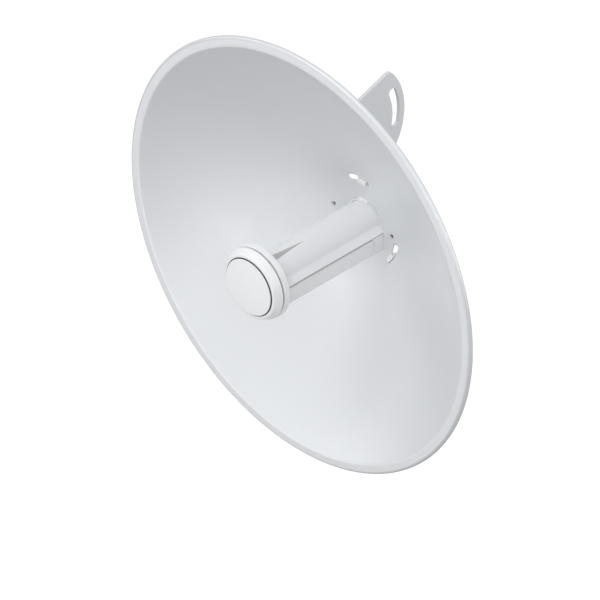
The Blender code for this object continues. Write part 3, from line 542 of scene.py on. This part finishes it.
def thumb_groove():
    """A long wedge-shaped scoop, wide at the cap, that deepens to one side and comes up to a point."""
    above = TUBE_RADIUS + 3 * MM
    narrowest, deepening, slope, draft = 0.02, 0.6, 1.15, 0.15 * MM
    bm = bmesh.new()
    rings = []
    for i in range(GROOVE_ROWS + 1):
        share = i / GROOVE_ROWS
        y = GROOVE_START + (GROOVE_TIP - GROOVE_START) * share
        fade = max(1 - share, narrowest)
        low_x = GROOVE_TIP_X + (GROOVE_LEFT - GROOVE_TIP_X) * fade
        high_x = GROOVE_TIP_X + (GROOVE_RIGHT - GROOVE_TIP_X) * fade
        sink = GROOVE_DEPTH * fade ** deepening
        ring = []
        for k in range(GROOVE_COLUMNS + 1):
            across = k / GROOVE_COLUMNS
            x = low_x + (high_x - low_x) * across
            ring.append((x, y, barrel_z(x) + GROOVE_LIFT - (sink + GROOVE_LIFT) * across ** slope))
        ring += [(high_x + draft, y, above), (low_x, y, above)]
        rings.append([bm.verts.new(point) for point in ring])
    return skin(bm, rings)


def trough(outside, inside):
    """A belly's section from the right halves of its outside and inside, both from the seam downwards."""
    outer = outside + [(-a, b) for a, b in reversed(outside)]
    return outer + [(-a, b) for a, b in inside] + list(reversed(inside))


def make_lower_shell():
    """The box-shaped belly, drawn in a little under the seam, and its narrower neck inside the hub."""
    top = TUBE_SEAM - GAP
    outside = tube_box(0, top)
    width = outside[0][0]
    recess_x, recess_bottom = width - DRAW_IN, top - DRAW_HEIGHT
    recess = [(recess_x, top), (recess_x, top - DRAW_HEIGHT * DRAW_UPRIGHT), (width, recess_bottom)]
    neck, neck_inside = tube_box(-NECK_STEP, top), tube_box(-NECK_STEP - TUBE_WALL, top)
    belly = trough(recess + outside[1:], tube_box(-TUBE_WALL, top))
    lower = shape("tube_shell_lower", prism(belly, "Y", TUBE_FRONT, NECK_START))
    weld(
        lower,
        prism(trough(outside, neck_inside), "Y", NECK_START - TUBE_WALL, NECK_START),
        prism(trough(neck, neck_inside), "Y", NECK_START - TUBE_WALL, TUBE_REAR),
    )
    soften(lower, 0.35 * MM, 2)
    mount(lower, WHITE, "feed", ["feed_shell_lower"], smooth=30)

    def seam_shade(centre, normal):
        upright = abs(abs(centre.x) - recess_x) < 0.3 * MM
        return upright and centre.z > recess_bottom and centre.y < NECK_START

    # Painted shade: the recess's upright faces under the seam are painted dark grey, as the shade under the
    # facet's edge
    repaint(lower, PAINTED_SHADE_WHITE, seam_shade)


# The front cap ----------------------------------------------------------------------------------------------

CAP_CENTRE = (0, 0, middle("cap_disc")[2])
CAP_STEPS = 160
CAP_WALL = 2 * MM
RECESS_RADIUS = 28.3 * MM           # the well in the cap's face that holds the disc
RECESS_DEPTH = 1.9 * MM
FLANGE_RIM = 3 * MM                 # width of the flange's front face


def cap_turned(profile):
    return turned(profile, CAP_STEPS, centre=CAP_CENTRE)


def make_flange():
    """The wider ring behind the cap, and the gasket between the two."""
    low, high = span("feed_flange")
    front, rear, radius = low.y, high.y, high.x
    inner, floor = radius - FLANGE_RIM, rear - CAP_WALL
    edge, soft = 0.7 * MM, 1.3 * MM
    profile = [(0, floor), (inner, floor), (inner, front), (radius - edge, front)]
    profile += arc((radius - edge, front + edge), edge, -90, 0, 6)[1:]
    profile += arc((radius - soft, rear - soft), soft, 0, 90, 10) + [(0, rear)]
    flange = shape("cap_flange", cap_turned(profile))
    hole = mirrored(tube_top(GAP, TUBE_SEAM) + tube_box(GAP, TUBE_SEAM))
    cut(flange, prism(hole, "Y", floor - OVER, rear + OVER))
    mount(flange, WHITE_FINE, "feed", ["feed_flange"])

    low, high = span("cap_gasket")
    inner -= 2 * MM
    bulge = (high.y - low.y) / 2
    ring = [(inner, low.y)] + arc((high.x - bulge, low.y + bulge), bulge, -90, 90, 8) + [(inner, high.y)]
    mount(shape("cap_seal", cap_turned(ring)), SEAL, "feed", ["cap_gasket"])


def make_front_cap():
    """The cap with its well, the dark band round the disc that paints the shade of the gap there, and the
    disc.
    """
    low, high = span("feed_cap")
    front, rear, rear_radius = low.y, high.y, high.x
    front_radius, floor = rear_radius - 3 * MM, front + RECESS_DEPTH
    nose, corner, lip = 1.6 * MM, 0.5 * MM, 0.2 * MM
    profile = [(0, floor), (RECESS_RADIUS - corner, floor)]
    profile += arc((RECESS_RADIUS - corner, floor - corner), corner, 90, 0, 4)[1:]
    profile += arc((RECESS_RADIUS + lip, front + lip), lip, 180, 270, 4)
    profile += arc((front_radius - nose, front + nose), nose, -90, -12, 10)
    profile += [(rear_radius, rear - corner), (rear_radius - corner, rear), (rear_radius - CAP_WALL, rear),
                (front_radius - CAP_WALL, floor + CAP_WALL), (0, floor + CAP_WALL)]
    mount(shape("front_cap", cap_turned(profile)), WHITE_FINE, "feed", ["feed_cap"])

    # The dark band round the disc, painted shade for the gap there, slopes from the disc's edge to the cap's
    # face
    rear = span("disc_seal")[1].y
    play = 0.05 * MM
    band, outer = span("cap_disc")[1].x + play, RECESS_RADIUS - play
    ring = [(band, rear), (band, front - 0.8 * MM), (outer, front), (outer, rear)]
    mount(shape("disc_shade_ring", cap_turned(ring)), BLACK_RUBBER_AND_SHADE, "feed", ["disc_seal"])

    low, high = span("cap_disc")
    radius, edge, crown, rings = high.x, 0.5 * MM, 0.8 * MM, 12
    profile = [((radius - edge) * i / rings, low.y + crown * (i / rings) ** 2) for i in range(rings + 1)]
    profile += arc((radius - edge, low.y + crown + edge), edge, -90, 0, 6)[1:]
    profile += [(radius, high.y), (0, high.y)]
    mount(shape("front_disc", cap_turned(profile)), WHITE_DISC_AND_HIGHLIGHT, "feed", ["cap_disc"])


# The hub ----------------------------------------------------------------------------------------------------

CLEAR_REACH = 46.7 * MM
HUB_CLEARANCE, HUB_WALL, HUB_RIM_WALL = 0.4 * MM, 1.6 * MM, 1.7 * MM
HUB_RIM_FRONT = 79.2 * MM
HUB_FLANGE = (81.1 * MM, 82.9 * MM)
HOUSING_HALF = 33 * MM
KEY_HALF, KEY_HEIGHT, KEY_PROUD, KEY_CORNER = 5 * MM, 3.6 * MM, 1.2 * MM, 0.8 * MM
LOCK_EAR_RADIUS = 4 * MM
HOUSING_SCREW_HOLE = 1.9 * MM


def cut_corner_box(half, bottom, top, inset=0.0, round_off=0.0):
    """A box whose corners are cut at 45 degrees, where x + z reaches CLEAR_REACH."""
    half, bottom, top = half - inset, bottom + inset, top - inset
    reach = CLEAR_REACH - inset * math.sqrt(2)
    right = [(reach - top, top), (half, reach - half), (half, half - reach), (reach + bottom, bottom)]
    outline = mirrored(right)
    return rounded(outline, round_off) if round_off else outline


def lock_rods(radius, start, end, steps=48):
    """Rods on the lock screws' axes, to cut their holes or to weld the ears round them."""
    return [rod(radius, start, end, steps=steps, centre=(side * LOCK_HOLES, 0, 0)) for side in (-1, 1)]


def make_hub():
    """The sleeve that the feed plugs into: rim and key in front, flange and long sleeve behind."""
    low, high = span("hub_collar")
    foot = TUBE_SEAM - HUB_CLEARANCE
    outline = cut_corner_box(HOUSING_HALF, low.z, high.z, round_off=3 * MM)
    hub = shape("hub_sleeve", prism(outline, "Y", *HUB_FLANGE))
    rim = mirrored(tube_top(HUB_CLEARANCE + HUB_RIM_WALL, foot) + tube_box(0, foot))
    boss = mirrored([(0, foot - GAP)] + tube_box(0, foot - GAP))
    around = HUB_CLEARANCE + HUB_WALL
    sleeve = mirrored(tube_top(around, foot) + tube_box(around - NECK_STEP, foot))
    key = rectangle(-KEY_HALF, KEY_HALF, TUBE_RADIUS, TUBE_RADIUS + KEY_HEIGHT)
    weld(
        hub,
        prism(rim, "Y", HUB_RIM_FRONT, HUB_FLANGE[0] + BITE),
        prism(rounded(key, KEY_CORNER, corners=(2, 3)), "Y", HUB_RIM_FRONT - KEY_PROUD, HUB_FLANGE[0] + BITE),
        prism(boss, "Y", low.y, HUB_RIM_FRONT + BITE),
        prism(sleeve, "Y", HUB_FLANGE[1] - BITE, high.y),
        *lock_rods(LOCK_EAR_RADIUS, *HUB_FLANGE),
    )
    passage = mirrored(tube_top(HUB_CLEARANCE, foot) + tube_box(HUB_CLEARANCE - NECK_STEP, foot))
    through = (HUB_FLANGE[0] - OVER, HUB_FLANGE[1] + OVER)
    cut(hub, prism(passage, "Y", low.y - OVER, high.y + OVER), *lock_rods(LOCK_HOLE_RADIUS, *through))
    cut(hub, *[rod(HOUSING_SCREW_HOLE, *through, steps=24, centre=place) for place in screw_places()])
    soften(hub, 0.3 * MM, 2)
    mount(hub, WHITE, "dish_assembly", ["hub_collar"], smooth=30)
    # Painted highlight: the hub's front faces get the brighter white
    repaint(hub, WHITE_DISC_AND_HIGHLIGHT, lambda centre, normal: normal.y < -FACING and centre.y < HUB_RIM_FRONT + MM)


def screw_places():
    """Where the axes of the housing's screws stand."""
    places = [middle(f"housing_screw_{number}") for number in range(1, 5)]
    return [(x, 0, z) for x, y, z in places]


# The bracket ------------------------------------------------------------------------------------------------

FAN_OUTER = span("dish_bracket")[0].x
FAN_INNER = FAN_OUTER + 3.5 * MM
BASE = (78.4 * MM, 81.1 * MM)
BASE_RADIUS = span("dish_bracket")[1].x
PIVOT = (-DISH.y, -DISH.z)          # the frame's origin is the pivot hole, here as (y, z)
FAN_BACK_RADIUS, FAN_BACK_END = 67.5 * MM, -38
FAN_TOP, FAN_SLOPE = (164 * MM, 95 * MM), 18.8
FAN_FOOT, FAN_FOOT_Z = 124 * MM, 14 * MM
TILT_SLOT_RADIUS, TILT_SLOT_CENTRE, TILT_SWING = 57 * MM, 5.5, 17
HOLE_RADIUS = 4.4 * MM
HOOK_HALF, HOOK_REACH = 1.3 * MM, 1.2 * MM
HOOK_ENDS = (-1.5, 3)               # degrees from the tail's two ends to the hook's
HOOK_SHRINK, HOOK_TRIM = 0.2 * MM, 0.4                 # how far the lip's sides and ends stay inside the tab


def fan_top_z(y):
    """Height of the fan's sloping top edge."""
    return FAN_TOP[1] + math.tan(math.radians(FAN_SLOPE)) * (y - FAN_TOP[0])


def fan_outline():
    """The upright plate, as (y, z) points."""
    above = (fan_top_z(PIVOT[0]) - PIVOT[1]) * math.cos(math.radians(FAN_SLOPE))
    corner_angle = FAN_SLOPE + math.degrees(math.asin(above / FAN_BACK_RADIUS))
    first, last = (on_circle(PIVOT, FAN_BACK_RADIUS, angle) for angle in (corner_angle, FAN_BACK_END))
    # The arc's own points stay clear of its two ends, which are rounded off
    back = [first] + arc(PIVOT, FAN_BACK_RADIUS, corner_angle - 6, FAN_BACK_END + 11, 32) + [last]
    outline = [(BASE[0], FAN_FOOT_Z), (BASE[0], fan_top_z(BASE[0]))] + back + [(FAN_FOOT, FAN_FOOT_Z)]
    outline = rounded(outline, 12 * MM, corners=[len(outline) - 2], steps=10)
    return rounded(outline, 6 * MM, corners=[2], steps=10)


def tilt_slot():
    """The curved slot with round ends, about the pivot."""
    start, end = TILT_SLOT_CENTRE - TILT_SWING, TILT_SLOT_CENTRE + TILT_SWING
    far, near = (on_circle(PIVOT, TILT_SLOT_RADIUS, angle) for angle in (end, start))
    return (
        arc(PIVOT, TILT_SLOT_RADIUS + HOLE_RADIUS, start, end, 24)
        + arc(far, HOLE_RADIUS, end, end + 180, 14)[1:]
        + arc(PIVOT, TILT_SLOT_RADIUS - HOLE_RADIUS, end, start, 24)[1:]
        + arc(near, HOLE_RADIUS, start + 180, start + 360, 14)[1:-1]
    )


def base_outline():
    """The ring's outside, drawn out to the top of the fold where the fan plate starts."""
    fold_x = (FAN_OUTER + FAN_INNER) / 2
    fold_angle = math.degrees(math.acos(fold_x / BASE_RADIUS))
    corner = Vector((fold_x, fan_top_z(BASE[0])))
    tangent = math.degrees(math.atan2(corner.y, corner.x) - math.acos(BASE_RADIUS / corner.length))
    return arc(MIDDLE, BASE_RADIUS, -fold_angle, tangent, 90) + [tuple(corner)]


def hook(turn):
    """A curved tab through a keyhole's tail, and the lip that it turns inwards over the dish's face."""
    outer, inner = SLOT_CIRCLE + HOOK_HALF, SLOT_CIRCLE - HOOK_HALF
    start, end = SLOT_STEP + HOOK_ENDS[0] + turn, SLOT_END + HOOK_ENDS[1] + turn
    proud = bowl_y(outer) - GAP
    tab = ring_part(outer, inner, start, end, 10)
    # The lip's sides lie just inside the tab's, so that no two faces of the union coincide
    lip = ring_part(outer - HOOK_SHRINK, inner - HOOK_REACH, start - HOOK_TRIM, end + HOOK_TRIM, 10)
    return prism(tab, "Y", proud - 0.6 * MM, BASE[1]), prism(lip, "Y", proud - 1.5 * MM, proud)


def make_bracket():
    bracket = shape("tilt_bracket", prism(base_outline(), "Y", *BASE))
    weld(bracket, prism(fan_outline(), "X", FAN_OUTER, FAN_INNER))
    ring_hole = rod(SLOT_CIRCLE + 1.1 * MM, BASE[0] - OVER, BASE[1] + OVER, steps=128)
    pivot_hole = arc(PIVOT, HOLE_RADIUS, 0, 360, 48)[:-1]
    through = (FAN_OUTER - OVER, FAN_INNER + OVER)
    cut(bracket, ring_hole, prism(tilt_slot(), "X", *through), prism(pivot_hole, "X", *through))
    for turn in SLOT_TURNS:
        weld(bracket, *hook(turn))
    soften(bracket, 0.45 * MM, 3)
    mount(bracket, BRACKET_COAT, "dish_assembly", ["dish_bracket"], smooth=30)
    # Painted highlight: the hooks in front of the ring get the brighter white, against the shade in the
    # keyhole slots
    repaint(bracket, WHITE_DISC_AND_HIGHLIGHT, lambda centre, normal: centre.y < BASE[0] - 0.1 * MM)


# Rear housing and what is on it -----------------------------------------------------------------------------

HOUSING_REAR = 118 * MM
HOUSING_TOP, HOUSING_BOTTOM, HOUSING_WALL = 27 * MM, -29 * MM, 2 * MM
EAR_THICKNESS, EAR_CORNER = 3 * MM, 3.5 * MM
TOP_EAR_HALF, BOTTOM_EAR_HALF = 10 * MM, 9 * MM
EAR_HOLE, GROMMET_HOLE = 2 * MM, 6 * MM
PORT = (-16.5 * MM, 16.5 * MM, -17.5 * MM, 16.5 * MM)  # low x, high x, low z, high z
WINDOW_HALF = (7 * MM, 4.5 * MM)    # the release buttons' windows: along y, along z
COVER_THICKNESS = 2.2 * MM
RAIL_WIDTH, RAIL_LIP, RAIL_COVER, RAIL_BOTTOM = 3 * MM, 2 * MM, 2.5 * MM, -19 * MM
RIDGE_HALF, RIDGE_HEIGHT, RIDGE_FEET = 10 * MM, 1.4 * MM, (-16 * MM, -12.5 * MM, -9 * MM)
GRIP_PITCH, GRIP_HALF, GRIP_DEPTH = 2.2 * MM, 0.4 * MM, 0.5 * MM
COIL_WIRE, COIL_TURNS, COIL_STEPS = 0.35 * MM, 4, 24


def button_window(shrink=0.0, corner=1.4 * MM):
    """Outline of a release button's window, as (y, z) points, or of the button's head inside it."""
    x, y, z = middle("release_button_right")
    length, height = WINDOW_HALF[0] - shrink, WINDOW_HALF[1] - shrink
    return rounded(rectangle(y - length, y + length, z - height, z + height), corner)


def make_housing():
    """The box behind the dish, with its screw ears, cover rails, port and button windows."""
    low, high = span("rear_housing")
    front, ear_rear = low.y, low.y + EAR_THICKNESS
    box = cut_corner_box(HOUSING_HALF, HOUSING_BOTTOM, HOUSING_TOP, round_off=4 * MM)
    housing = shape("rear_box", prism(box, "Y", front, HOUSING_REAR))
    soften(housing, 1.2 * MM, 4, 60)
    top_ear = rectangle(-TOP_EAR_HALF, TOP_EAR_HALF, HOUSING_TOP - MM, high.z)
    bottom_ear = rectangle(-BOTTOM_EAR_HALF, BOTTOM_EAR_HALF, low.z, HOUSING_BOTTOM + MM)
    weld(
        housing,
        prism(rounded(top_ear, EAR_CORNER, corners=(2, 3)), "Y", front, ear_rear),
        prism(rounded(bottom_ear, EAR_CORNER, corners=(0, 1)), "Y", front, ear_rear),
        *cover_rails(),
    )
    inside = cut_corner_box(HOUSING_HALF, HOUSING_BOTTOM, HOUSING_TOP, HOUSING_WALL)
    through = HOUSING_WALL + OVER
    cut(
        housing,
        prism(inside, "Y", front - OVER, HOUSING_REAR - HOUSING_WALL),
        *[rod(EAR_HOLE, front - OVER, ear_rear + OVER, steps=24, centre=place) for place in screw_places()],
        prism(rounded(rectangle(*PORT), 2 * MM), "Y", HOUSING_REAR - through, HOUSING_REAR + OVER),
        *[prism(button_window(), "X", x - through, x + through) for x in (-HOUSING_HALF, HOUSING_HALF)],
        rod(GROMMET_HOLE, HOUSING_BOTTOM - OVER, HOUSING_BOTTOM + 4 * MM, "Z", centre=grommet_place()),
    )
    mount(housing, WHITE_FINE, "dish_assembly", ["rear_housing"], smooth=30)


def grommet_place():
    return 0, middle("cable_grommet")[1], 0


def cover_rails():
    """Two rails and a top stop that the port cover slides in."""
    high = span("port_cover")[1]
    inner = high.x + GAP
    outer = inner + RAIL_WIDTH
    root = HOUSING_REAR - MM
    lip_front = HOUSING_REAR + COVER_THICKNESS + 2 * GAP
    lip_rear = lip_front + RAIL_LIP
    stop = high.z + GAP
    top = stop + 2 * MM
    rails = [block((-outer, root, stop), (outer, lip_rear, top))]
    for side in (-1, 1):
        stem = sorted((side * inner, side * outer))
        lip = sorted((side * (inner - RAIL_COVER), side * outer))
        rails.append(block((stem[0], root, RAIL_BOTTOM), (stem[1], lip_rear, top)))
        rails.append(block((lip[0], lip_front, RAIL_BOTTOM), (lip[1], lip_rear, top)))
    return rails


def make_cover():
    """The sliding plate over the port, with three finger ridges."""
    low, high = span("port_cover")
    plate = rounded(rectangle(low.x, high.x, low.z, high.z), 0.8 * MM)
    cover = shape("socket_cover", prism(plate, "Y", low.y, low.y + COVER_THICKNESS))
    ridges = []
    for z in RIDGE_FEET:
        ridge = rounded(rectangle(-RIDGE_HALF, RIDGE_HALF, z, z + RIDGE_HEIGHT), 0.6 * MM)
        ridges.append(prism(ridge, "Y", high.y - 1.7 * MM, high.y))
    weld(cover, *ridges)
    soften(cover, 0.3 * MM, 2)
    mount(cover, WHITE_FINE, "port_cover", ["port_cover"], smooth=30)


def make_buttons():
    """The release buttons, with grip grooves across their faces, and the springs behind them."""
    x, y, z = middle("release_button_right")
    grip_reach = (WINDOW_HALF[1] - GAP) * 0.6
    for side, word in ((-1, "left"), (1, "right")):
        low, high = span(f"release_button_{word}")
        face = high.x if side > 0 else low.x
        foot_inner = low.x if side > 0 else high.x
        foot_outer = foot_inner + side * 1.3 * MM
        head = prism(button_window(GAP, 2 * MM), "X", foot_outer - side * BITE, face)
        foot = prism(rounded(rectangle(low.y, high.y, low.z, high.z), 1 * MM), "X", foot_inner, foot_outer)
        button = shape(f"release_key_{word}", head)
        soften(button, 0.5 * MM, 3)
        weld(button, foot)
        groove = sorted((face - side * GRIP_DEPTH, face + side * OVER))
        cut(button, *[
            block((groove[0], y + k * GRIP_PITCH - GRIP_HALF, z - grip_reach),
                  (groove[1], y + k * GRIP_PITCH + GRIP_HALF, z + grip_reach))
            for k in (-2, -1, 0, 1, 2)
        ])
        mount(button, WHITE_FINE, f"release_{word}", [f"release_button_{word}"], smooth=30)

        low, high = span(f"release_spring_{word}")
        coil = (high.y - low.y) / 2 - COIL_WIRE
        points = []
        for i in range(COIL_TURNS * COIL_STEPS + 1):
            share = i / (COIL_TURNS * COIL_STEPS)
            angle = math.tau * COIL_TURNS * share
            along = low.x + COIL_WIRE + share * (high.x - low.x - 2 * COIL_WIRE)
            points.append((along, y + coil * math.cos(angle), z + coil * math.sin(angle)))
        spring = shape(f"release_coil_{word}", tube_along(points, COIL_WIRE, 10))
        mount(spring, ZINC, "dish_assembly", [f"release_spring_{word}"])
        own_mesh(spring)


def make_grommet():
    """A rubber bush, waisted where it sits in the housing's floor."""
    low, high = span("cable_grommet")
    bore, neck, lip = 3.2 * MM, 5.7 * MM, high.x
    bottom, top = low.z, high.z
    neck_low, neck_high = bottom + 2 * MM, top - 1.5 * MM
    bottom_edge, top_edge = 0.9 * MM, 0.6 * MM
    profile = [(bore, bottom + top_edge), (bore + top_edge, bottom)]
    profile += arc((lip - bottom_edge, bottom + bottom_edge), bottom_edge, -90, 0, 6)
    profile += [(lip, neck_low), (neck, neck_low), (neck, neck_high), (lip, neck_high)]
    profile += arc((lip - top_edge, top - top_edge), top_edge, 0, 90, 5) + [(bore, top)]
    bush = shape("cable_bush", turned(profile, 64, "Z", grommet_place()))
    mount(bush, BLACK_RUBBER_AND_SHADE, "dish_assembly", ["cable_grommet"])


HOUSING_SCREWS = [f"housing_screw_{number}" for number in range(1, 5)]
LOCK_SCREWS = ["lock_screw_left", "lock_screw_right"]
THREAD_PITCH, THREAD_START, THREAD_ROOT = 0.7 * MM, 0.3 * MM, 0.8
HEAD_BAND, CROWN_STEPS, CROWN_REACH = 0.3 * MM, 8, 0.98
CROSS_HALF, CROSS_DEPTH, CROSS_SHARE = 0.45 * MM, 1.2 * MM, 0.62


def make_screws():
    """Cross-recessed pan heads on threaded shanks."""
    for name in HOUSING_SCREWS + LOCK_SCREWS:
        crown, shank = (2.4 * MM, 1.7 * MM) if name in LOCK_SCREWS else (2.1 * MM, 1.6 * MM)
        low, high = span(name)
        x, y, z = middle(name)
        head = (high.x - low.x) / 2
        face = high.y - crown
        profile = [(0, low.y), (shank * 0.6, low.y)]
        y = low.y + THREAD_START
        while y + THREAD_PITCH < face:
            profile += [(shank * THREAD_ROOT, y), (shank, y + THREAD_PITCH / 2)]
            y += THREAD_PITCH
        profile += [(shank * THREAD_ROOT, face), (head - 0.2 * MM, face)]
        for i in range(CROWN_STEPS + 1):
            turn = i / CROWN_STEPS * math.pi / 2
            rise = HEAD_BAND + (crown - HEAD_BAND) * math.sin(turn)
            profile.append((head * math.cos(turn * CROWN_REACH), face + rise))
        profile.append((0, high.y))
        screw = shape(f"{name}_cross", turned(profile, 40, centre=(x, 0, z)))
        arm, floor, top = head * CROSS_SHARE, high.y - CROSS_DEPTH, high.y + OVER
        for a, b in ((CROSS_HALF, arm), (arm, CROSS_HALF)):
            cut(screw, block((x - a, floor, z - b), (x + a, top, z + b)))
        mount(screw, ZINC, "dish_assembly", [name])
        if name in LOCK_SCREWS:
            # Painted shade: the tip that shows in the dish's hole is painted black, for the shade inside the
            # hole
            repaint(screw, BLACK_PLASTIC_AND_SHADE, lambda centre, normal, tip=low.y: centre.y < tip + MM)


# Inside the feed --------------------------------------------------------------------------------------------

def dress_insides():
    """Finishes for the CAD pieces that stay as they are."""
    looks = {
        "splash_plate": TIN, "radiator_board": BOARD, "radio_board": BOARD, "board_shield": TIN,
        "heat_spreader": CAST, "ethernet_jack": TIN, "feed_end_plate": WHITE_FINE, "status_light_pipe": CLEAR,
        "reset_switch": BLACK_PLASTIC_AND_SHADE, "reset_button": BLACK_PLASTIC_AND_SHADE,
    }
    for name, look in looks.items():
        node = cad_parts[name]
        node.data.materials.clear()
        node.data.materials.append(look)


# Stage, light and camera ------------------------------------------------------------------------------------

FLOOR_DROP = 0.9                   # how far the floor lies below the dish's axis
FLOOR_GLOW = 0.75
SKY_LEVEL, SKY_RISE = 0.54, 0.385
LIGHT_DISTANCE, LIGHT_SIZE = 2.6, 1.0
LIGHTS = (                          # soft lights all round: name, direction from the dish, watts
    ("low_left", (-0.5, -0.8, -0.3), 10.6),
    ("low_front", (0.1, -0.9, -0.3), 13.4),
    ("high_left", (-0.3, -0.5, 0.9), 11.0),
    ("left", (-0.9, -0.4, 0.3), 5.3),
    ("right", (1, -0.35, 0.35), 4.5),
    ("high_right", (0.6, -0.7, 0.5), 8.7),
    ("back_right", (1, 0.6, 0.2), 12.8),
)
FLOOR_SIZE, FLOOR_GREY = 60, 0.35
SKY_COLOUR = (0.96, 0.98, 1.0, 1)
IMAGE_WIDTH = 0.525                 # metres across the picture at the dish
PICTURE_DROP = 38.6                 # how far the picture's middle lies below the dish's, in mm
LENS, FAR_CLIP = 1400, 200


def make_stage():
    """A wide pale floor, which glows a little for the camera so that it reads as white."""
    floor_bm = bmesh.new()
    bmesh.ops.create_grid(floor_bm, x_segments=2, y_segments=2, size=FLOOR_SIZE)
    floor = shape("floor", floor_bm)
    floor.location = (DISH.x, DISH.y, DISH.z - FLOOR_DROP)
    pale = bpy.data.materials.new("pale_floor")
    pale.use_nodes = True
    nodes, links = pale.node_tree.nodes, pale.node_tree.links
    shader = nodes["Principled BSDF"]
    shader.inputs["Base Color"].default_value = (FLOOR_GREY, FLOOR_GREY, FLOOR_GREY, 1)
    shader.inputs["Roughness"].default_value = 1.0
    shader.inputs["Specular IOR Level"].default_value = 0.0
    glow = nodes.new("ShaderNodeEmission")
    glow.inputs["Strength"].default_value = FLOOR_GLOW
    both = nodes.new("ShaderNodeAddShader")
    seen = nodes.new("ShaderNodeLightPath")
    mix = nodes.new("ShaderNodeMixShader")
    links.new(shader.outputs["BSDF"], both.inputs[0])
    links.new(glow.outputs["Emission"], both.inputs[1])
    links.new(seen.outputs["Is Camera Ray"], mix.inputs["Fac"])
    links.new(shader.outputs["BSDF"], mix.inputs[1])
    links.new(both.outputs["Shader"], mix.inputs[2])
    links.new(mix.outputs["Shader"], nodes["Material Output"].inputs["Surface"])
    floor.data.materials.append(pale)


def area_light(name, direction, energy):
    """A square light that looks at the middle of the dish."""
    light = bpy.data.lights.new(name, "AREA")
    light.size = LIGHT_SIZE
    light.energy = energy
    lamp = bpy.data.objects.new(name, light)
    bpy.context.scene.collection.objects.link(lamp)
    back = Vector(direction).normalized()
    lamp.location = DISH + back * LIGHT_DISTANCE
    lamp.rotation_euler = back.to_track_quat("Z", "Y").to_euler()


def make_light():
    """An even sky, seen as plain white by the camera, and the lights."""
    world = bpy.data.worlds.new("studio")
    world.use_nodes = True
    bpy.context.scene.world = world
    nodes, links = world.node_tree.nodes, world.node_tree.links
    sky = nodes["Background"]
    sky.inputs["Color"].default_value = SKY_COLOUR
    # The sky brightens a little overhead
    height = nodes.new("ShaderNodeSeparateXYZ")
    rise = nodes.new("ShaderNodeMath")
    rise.operation = "MULTIPLY"
    rise.inputs[1].default_value = SKY_RISE
    rise.use_clamp = True
    level = nodes.new("ShaderNodeMath")
    level.operation = "ADD"
    level.inputs[1].default_value = SKY_LEVEL
    links.new(nodes.new("ShaderNodeTexCoord").outputs["Generated"], height.inputs["Vector"])
    links.new(height.outputs["Z"], rise.inputs[0])
    links.new(rise.outputs["Value"], level.inputs[0])
    links.new(level.outputs["Value"], sky.inputs["Strength"])
    white = nodes.new("ShaderNodeBackground")
    white.inputs["Color"].default_value = (1, 1, 1, 1)
    white.inputs["Strength"].default_value = 1.0
    seen = nodes.new("ShaderNodeLightPath")
    mix = nodes.new("ShaderNodeMixShader")
    links.new(seen.outputs["Is Camera Ray"], mix.inputs["Fac"])
    links.new(sky.outputs["Background"], mix.inputs[1])
    links.new(white.outputs["Background"], mix.inputs[2])
    links.new(mix.outputs["Shader"], nodes["World Output"].inputs["Surface"])
    for name, direction, energy in LIGHTS:
        area_light(name, direction, energy)


def make_camera():
    lens = bpy.data.cameras.new("camera")
    lens.lens = LENS
    lens.clip_end = FAR_CLIP
    camera = bpy.data.objects.new("camera", lens)
    bpy.context.scene.collection.objects.link(camera)
    back = Vector((1, -1, 1)).normalized()
    up = Vector((-1, 1, 2)).normalized()
    target = DISH - up * PICTURE_DROP * MM
    camera.location = target + back * IMAGE_WIDTH * LENS / lens.sensor_width
    camera.rotation_euler = back.to_track_quat("Z", "Y").to_euler()
    bpy.context.scene.camera = camera
    bpy.context.scene.view_settings.view_transform = "Standard"


make_camera()
make_stage()
make_light()
make_dish()
make_upper_shell()
make_lower_shell()
make_flange()
make_front_cap()
make_hub()
make_bracket()
make_housing()
make_cover()
make_buttons()
make_grommet()
make_screws()
dress_insides()
